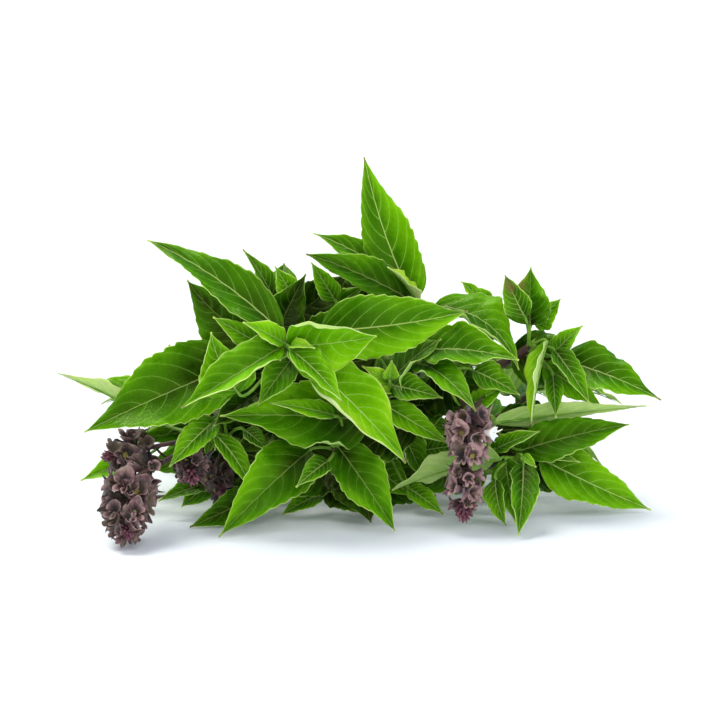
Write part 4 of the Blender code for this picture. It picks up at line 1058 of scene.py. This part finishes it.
def leaf_finish(name, colours, vein_colour, rim_glint_colour, rough, vein_share, relief, sheen):
    """Blade face: tone by the leaf's age, blotches, veins, worn tips, painted shade at its foot and midrib,
    a painted glint on its rim, a fine net and raised fields.
    """
    made, tree, shader, where = new_finish(
        name, Roughness=rough, IOR=1.45, Specular_IOR_Level=0.45, Specular_Tint=srgb("cbea58"),
        Subsurface_Weight=0.4, Subsurface_Scale=0.0016, Subsurface_Radius=(0.75, 1.0, 0.12),
        Sheen_Weight=sheen, Sheen_Roughness=0.5, Sheen_Tint=srgb("dfe9df"))
    vein, rib, rim, tone, gap, along, out = vein_masks(tree)
    blotch, fleck, pucker = [
        add(tree, "TexNoise", {"Vector": where, "Scale": scale, "Detail": detail})
        for scale, detail in ((70.0, 3.0), (900.0, 2.0), (320.0, 2.0))]
    # The tone varies in blotches and flecks and gets darker between the veins; painted shade and light make
    # it darker along the midrib and at the foot, and paler towards the margin.
    patchy = add(tree, "Math", (blotch, 0.5, -0.25), operation="MULTIPLY_ADD")
    field = add(tree, "MapRange", (gap, 0.0, 1.6, 0.0, -0.07))
    edge = add(tree, "MapRange", (out, 0.0, 1.0, -0.13, 0.13))
    foot = add(tree, "MapRange", (along, 0.0, 0.5, -0.17, 0.03))
    painted_shade = add(tree, "Math", (edge, foot), operation="ADD")
    level = tone
    for part, share in ((patchy, 1.0), (fleck, 0.12), (field, 1.0), (painted_shade, 1.0)):
        level = add(tree, "Math", (part, share, level), operation="MULTIPLY_ADD")
    ramp = add(tree, "ValToRGB", (level,))
    stops = ramp.node.color_ramp.elements
    stops[0].color, stops[1].color = srgb(colours[0]), srgb(colours[3])
    stops.new(0.35).color = srgb(colours[1])
    stops.new(0.68).color = srgb(colours[2])
    # Dark leaves show their veins and rim glints less.
    paler = add(tree, "MapRange", (tone, 0.0, 0.4, 0.3, 1.0))
    strength = add(tree, "Attribute", output="Fac", attribute_name="veined")
    sides, middle, shown, rim_glints = [
        add(tree, "Math", values, operation="MULTIPLY")
        for values in ((vein, vein_share), (rib, 0.78), (paler, strength), (paler, 0.5))]
    lines = add(tree, "Math", (sides, middle), operation="MAXIMUM")
    drawn = add(tree, "Math", (lines, shown), operation="MULTIPLY")
    # The pale rim is partly the margin's own paler green and partly a painted glint of light on its edge.
    rim_glints = add(tree, "Math", (rim, rim_glints), operation="MULTIPLY")
    wear = add(tree, "Attribute", output="Fac", attribute_name="wear")
    ragged = add(tree, "Math", (fleck, 0.8, wear), operation="MULTIPLY_ADD")
    brown = add(tree, "MapRange", (ragged, 0.6, 1.1, 0.0, 0.75))
    colour = ramp
    for share, code in ((drawn, vein_colour), (rim_glints, rim_glint_colour), (brown, "6e5a34")):
        colour = add(tree, "Mix", {0: share, 6: colour, 7: srgb(code)}, 2, data_type="RGBA")
    tree.links.new(colour, shader.inputs["Base Color"])
    # Cells of the finest net of veins are 1.5 mm wide, puckers 3 mm and flecks 1 mm.
    cells = add(tree, "TexVoronoi", {"Vector": where, "Scale": 650.0}, feature="DISTANCE_TO_EDGE")
    height = add(tree, "MapRange", (cells, 0.0, 0.12, -0.35, 0.0))
    veins = add(tree, "Math", (vein, rib), operation="MAXIMUM")
    for part, share in ((veins, relief), (pucker, 2.2), (fleck, 0.5)):
        height = add(tree, "Math", (part, share, height), operation="MULTIPLY_ADD")
    bump = add(tree, "Bump", {"Strength": 0.5, "Distance": 0.0003, "Height": height})
    tree.links.new(bump, shader.inputs["Normal"])
    gloss = add(tree, "MapRange", (fleck, 0.3, 0.7, rough - 0.06, rough + 0.08))
    tree.links.new(gloss, shader.inputs["Roughness"])
    return made


def leaf_upper():
    """Upper face of a basil leaf: grown with a waxy skin, so it is softly glossy, its veins sunk."""
    return leaf_finish("basil leaf upper face", ("081c00", "356c00", "6aaa02", "a8d42a"), "cfe886",
                       "c6de78", 0.34, 0.37, -1.0, 0.0)


def leaf_under():
    """Under face of a basil leaf: grown without wax, so it is matt and greyer, its veins raised."""
    return leaf_finish("basil leaf under face", ("648a40", "8db35a", "aecb78", "cfe096"), "dce8b0",
                       "c3da86", 0.6, 0.55, 1.3, 0.1)


def mottled(name, low, high, scale, rough, stretch=(1.0, 1.0, 1.0), relief=0.3, **sockets):
    """Plant skin in two close colours, streaked or mottled, with a fine grain; scale is waves a metre."""
    made, tree, shader, where = new_finish(name, Roughness=rough, **sockets)
    turned = add(tree, "Mapping", {"Vector": where, "Scale": stretch})
    patch = add(tree, "TexNoise", {"Vector": turned, "Scale": scale, "Detail": 4.0})
    share = add(tree, "MapRange", (patch, 0.36, 0.64, 0.0, 1.0))
    colour = add(tree, "Mix", {0: share, 6: srgb(low), 7: srgb(high)}, 2, data_type="RGBA")
    tree.links.new(colour, shader.inputs["Base Color"])
    grain = add(tree, "TexNoise", {"Vector": turned, "Scale": scale * 4, "Detail": 2.0})
    bump = add(tree, "Bump", {"Strength": relief, "Distance": 0.0002, "Height": grain})
    tree.links.new(bump, shader.inputs["Normal"])
    return made


def calyx_skin():
    """Basil calyx: downy mauve-brown skin, so it looks soft; painted shade makes it nearly black at its foot
    and in its throat, a painted highlight paler at its rim.
    """
    made, tree, shader, where = new_finish("basil calyx skin", Roughness=0.6, Sheen_Weight=0.2,
                                           Sheen_Roughness=0.4)
    patch = add(tree, "TexNoise", {"Vector": where, "Scale": 600.0, "Detail": 4.0})
    shade = add(tree, "Attribute", output="Fac", attribute_name="shade")
    level = add(tree, "Math", (patch, 0.9, shade), operation="MULTIPLY_ADD")
    ramp = add(tree, "ValToRGB", (level,))
    stops = ramp.node.color_ramp.elements
    stops[0].color, stops[1].color = srgb("1c0e0c"), srgb("a4827f")
    stops.new(0.45).color = srgb("5c3d3e")
    age = add(tree, "TexNoise", {"Vector": where, "Scale": 130.0, "Detail": 1.0})
    ripe = add(tree, "MapRange", (age, 0.48, 0.66, 0.0, 0.4))
    colour = add(tree, "Mix", {0: ripe, 6: ramp, 7: srgb("665a3c")}, 2, data_type="RGBA")
    tree.links.new(colour, shader.inputs["Base Color"])
    bump = add(tree, "Bump", {"Strength": 0.5, "Distance": 0.0002, "Height": patch})
    tree.links.new(bump, shader.inputs["Normal"])
    return made


def young_stalk():
    """Leaf stalk of basil: tender and waxy as it grew, so it looks bright green and faintly glossy."""
    return mottled("basil leaf stalk", "4a7a18", "7ca436", 260.0, 0.5, Specular_IOR_Level=0.3)


def stem_skin():
    """Grown basil stem: hardened and ridged along its length, so its purple-brown skin looks streaked."""
    return mottled("basil stem skin", "35201f", "5f4038", 220.0, 0.5, (1.0, 0.25, 0.6), 0.5)


def stem_pith():
    """Pith of a cut stem: sliced with a blade and dried a little, so it looks pale, spongy and matt."""
    return mottled("cut stem pith", "b9bf8a", "dfe0bc", 900.0, 0.65)


def calyx_throat():
    """Inside of a basil calyx: smooth and olive where the seed ripened, so it looks warmer than outside."""
    return mottled("basil calyx throat", "5a4a2a", "9a9040", 500.0, 0.6)


def bract_skin():
    """Basil bract: small thick leaf coloured almost black, partly its own dark purple and partly painted
    shade, as it sits between the calyxes.
    """
    return mottled("basil bract", "2a1a18", "523a34", 300.0, 0.5)


def bud_skin():
    """Basil bud: petals folded tight, so it looks dark wine red with a fine rough grain."""
    return mottled("basil bud skin", "3e1a26", "8a5462", 700.0, 0.55, (1.0, 1.0, 1.0), 0.5)


def head_stem():
    """Stem of a flower head: square, downy and purple as it grew, so it looks dusty and streaked."""
    return mottled("flower head stem skin", "66465a", "a8899a", 260.0, 0.5, (1.0, 1.0, 0.25), 0.4)


def petal():
    """Basil petal: thin and full of water, so it looks white and soft, with light inside it."""
    return mottled("basil petal", "f2f0ec", "ffffff", 300.0, 0.6, (1.0, 1.0, 1.0), 0.2,
                   Subsurface_Weight=0.3, Subsurface_Scale=0.001)


def stamen():
    """Stamen: white thread dusted with pollen, so it looks cream and matt."""
    return mottled("stamen", "e8e4cc", "f8f6ec", 500.0, 0.6)


def table_top():
    """Painted board: rolled on in matt white, so it shows soft shadows and no gloss."""
    return new_finish("white table top", Roughness=0.9, Base_Color=srgb("f4f8ff"))[0]


def leaf_facts(blade):
    """Tone with painted light and shade, painted sheen of the halves, wear, rolled margins and vein strength
    of a leaf, most drawn at random.
    """
    index = blade.place
    chance = random.Random(3000 + index)
    # The leaves inside the bunch get a very dark green that is partly painted shade.
    tone = {"y": 0.74, "g": 0.4, "o": 0.06}[blade.age] + chance.uniform(-0.14, 0.14)
    wear = (chance.choice((0.0, 0.0, 0.3, 0.9)), PATCHES.get(index, (0.0, 0.0, 0.0)))
    rolls = [(chance.uniform(0.0, 0.4), chance.uniform(0.6, 1.0), chance.uniform(-0.9, 1.1))
             for _ in range(2)]
    if index in ROLLS:
        side, roll = ROLLS[index]
        rolls[side] = roll
    veined = VEINED.get(index, chance.uniform(0.4, 0.85))
    return TONES_AND_PAINTED_LIGHT.get(index, tone), PAINTED_SHEEN_OF_HALVES.get(index, 0.0), wear, rolls, veined


def sprig_leaves(node, blades, finishes):
    """Finished leaves of one sprig."""
    leaves = gathered(node + ".leaves", [leaf_mesh(b, *leaf_facts(b)) for b in blades], finishes)
    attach(leaves, "root")
    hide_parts(node)


def sprig_stem(node, radius, points, blades, finishes):
    """Finished stem of one sprig: its skin, the stalks of its leaves, its cut end and its tip."""
    run = curve_points(points, 4 * len(points))
    chance = random.Random(701 + len(node))
    parts = [painted(shoots([main_shoot(radius, points)], 0.0), SKIN),
             painted(shoots([stalk_shoot(blade) for blade in blades], 1.0), STALK),
             painted(cut_end(run, radius), CUT)]
    parts += [painted(mesh, STALK) for mesh in crown_buds(run, chance)]
    stem = gathered(node + ".stem", parts, finishes)
    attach(stem, "root")
    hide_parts(node)


def strayed(chance, most):
    """Small random change of a direction."""
    return Vector([chance.uniform(-most, most) for _ in range(3)])


def whorl_parts(index, run, whorls, chance):
    """Calyxes of a flower head, some of them ripe inside, and the bracts under them."""
    parts = []
    total = (run[-1] - run[0]).length
    for kind, foot, way, length, width, turn, ahead in calyx_rows(index, run, whorls):
        if kind == "bract":
            parts.append(painted(bract(foot, way, length * 0.95, length * 0.2, ahead), BRACT))
            continue
        # Each calyx takes its head's tone, which holds painted shade, and gets darker towards the end of the
        # head.
        tone = TONE_AND_SHADE_OF_HEAD[index] - 0.25 * (foot - run[0]).length / total + chance.uniform(-0.3, 0.25)
        way = (way + strayed(chance, 0.22)).normalized()
        parts.append(bell(foot, way, length, width, turn, ahead, tone, chance.uniform(0.5, 1.5)))
        ripe = chance.random() < 0.3
        for polygon in parts[-1].polygons:
            polygon.material_index = THROAT if polygon.material_index and ripe else CALYX
        if chance.random() < 0.42:
            way = (way + strayed(chance, 0.3) - ahead * 0.2).normalized()
            parts.append(painted(bract(foot - ahead * 1.4, way, length * 1.3, length * 0.26, ahead), BRACT))
    return parts


def side_bracts(run, whorls, chance):
    """Bracts that stand out under the whorls at both sides of a head."""
    parts = []
    for place, _, reach in whorls[1:]:
        spot = run[int(place * (len(run) - 1))]
        for hand in (-1, 1):
            way = (RIGHT * (0.8 * hand) - UP * chance.uniform(0.3, 1.0) + TO_FRONT * 0.4).normalized()
            parts.append(painted(bract(spot, way, reach * 1.3, reach * 0.26, TO_FRONT), BRACT))
    return parts


def end_buds(run, size, chance):
    """Cluster of tight buds round the end of a head."""
    ahead = (run[-1] - run[-2]).normalized()
    pair = level_pair(ahead)
    count = int(24 * size)
    parts = []
    for k in range(count):
        back = 1 - k / count
        out = outward(pair, SPIRAL * k)
        foot = run[-1] - ahead * (3.4 * size * back) + out * size * back ** 0.4
        long = chance.uniform(2.5, 3.6) * size ** 0.3 * (0.7 + 0.3 * back)
        way = (ahead * (1.1 - 0.7 * back) + out * (0.4 + 0.6 * back)).normalized()
        parts.append(painted(bud(foot, way, long, chance.uniform(0.5, 0.85)), BUD))
    return parts


def open_flower(run):
    """The one open flower of the bunch, with its stamens."""
    foot = run[2] + RIGHT * 3.5 + TO_FRONT * 2.5
    way = (RIGHT + TO_FRONT * 0.4 - UP * 0.12).normalized()
    return [painted(petal_flower(foot, way, 6.0), PETAL),
            painted(shoots(stamens(foot + way * 3, way, 5.0), 1.0), ANTHER)]


def flower_head(index, name, run, points, whorls, finishes):
    """Finished flower head: stem, calyxes, bracts, buds and the odd open flower."""
    node = name.replace(" ", "_")
    chance = random.Random(900 + index)
    shoot = [(spot, RACHIS[0] - RACHIS[1] * k / 23) for k, spot in enumerate(curve_points(points, 24))]
    parts = [painted(shoots([shoot], 0.2), SKIN)]
    parts += whorl_parts(index, run, whorls, chance)
    if name == "left flower head":
        parts += side_bracts(run, whorls, chance)
    parts += end_buds(run, TIP_OF_HEAD[index], chance)
    if name == "middle flower head":
        parts += open_flower(run)
    head = gathered(node + ".bloom", parts, finishes)
    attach(head, "root")
    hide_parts(node)


def floor():
    """Plain pale surface under the bunch."""
    bm = bmesh.new()
    bmesh.ops.create_grid(bm, x_segments=1, y_segments=1, size=6.0)
    made = linked("floor", mesh_of(bm, "floor"))
    made.data.materials.append(table_top())


def sky_lamp(name, source, softness, power, colour):
    """Broad distant lamp: the way it comes from, how many degrees wide it looks, its power."""
    data = bpy.data.lights.new(name, "SUN")
    data.angle = math.radians(softness)
    data.energy = power
    data.color = srgb(colour)[:3]
    linked(name, data).rotation_euler = (-Vector(source)).to_track_quat("-Z", "Y").to_euler()


def studio():
    """White surround, soft lamps and the camera."""
    scene = bpy.context.scene
    scene.view_settings.view_transform = "Standard"
    world = bpy.data.worlds.new("white surround")
    world.use_nodes = True
    world.node_tree.nodes["Background"].inputs["Color"].default_value = srgb("e2ecff")
    world.node_tree.nodes["Background"].inputs["Strength"].default_value = 0.4
    scene.world = world
    sky_lamp("overhead", (-0.45, 0.25, 1.0), 38.0, 2.7, "fffdf4")
    sky_lamp("front", (0.5, -1.0, 0.6), 70.0, 1.95, "ffffff")
    sky_lamp("left", (-1.0, -0.6, 0.4), 70.0, 0.7, "ffffff")
    data = bpy.data.cameras.new("camera")
    data.sensor_width = 36.0
    data.lens = 162.2
    data.clip_end = 50.0
    camera = linked("camera", data)
    camera.location = (UP * EYE_UP + TO_FRONT * EYE_FAR) * MM
    camera.rotation_euler = (math.pi / 2 - LEAN, 0.0, 0.0)
    scene.camera = camera


def dress_bunch():
    """Whole bunch in its studio."""
    leaf = (leaf_upper(), leaf_under())
    stem = (stem_skin(), young_stalk(), stem_pith())
    lilac = head_stem()
    flower = (calyx_skin(), calyx_throat(), bract_skin(), bud_skin(), petal(), stamen())
    heads, blades = whole_layout()
    for key, name, radius, points in STEMS:
        node = name.replace(" ", "_")
        mine = [blade for blade in blades if blade.sprig == key]
        sprig_leaves(node, mine, leaf)
        sprig_stem(node, radius, points, mine, stem)
    for index, name, run, points, whorls in heads:
        skin = lilac if name == "middle flower head" else stem[0]
        flower_head(index, name, run, points, whorls, (skin,) + flower)
    floor()
    studio()


dress_bunch()
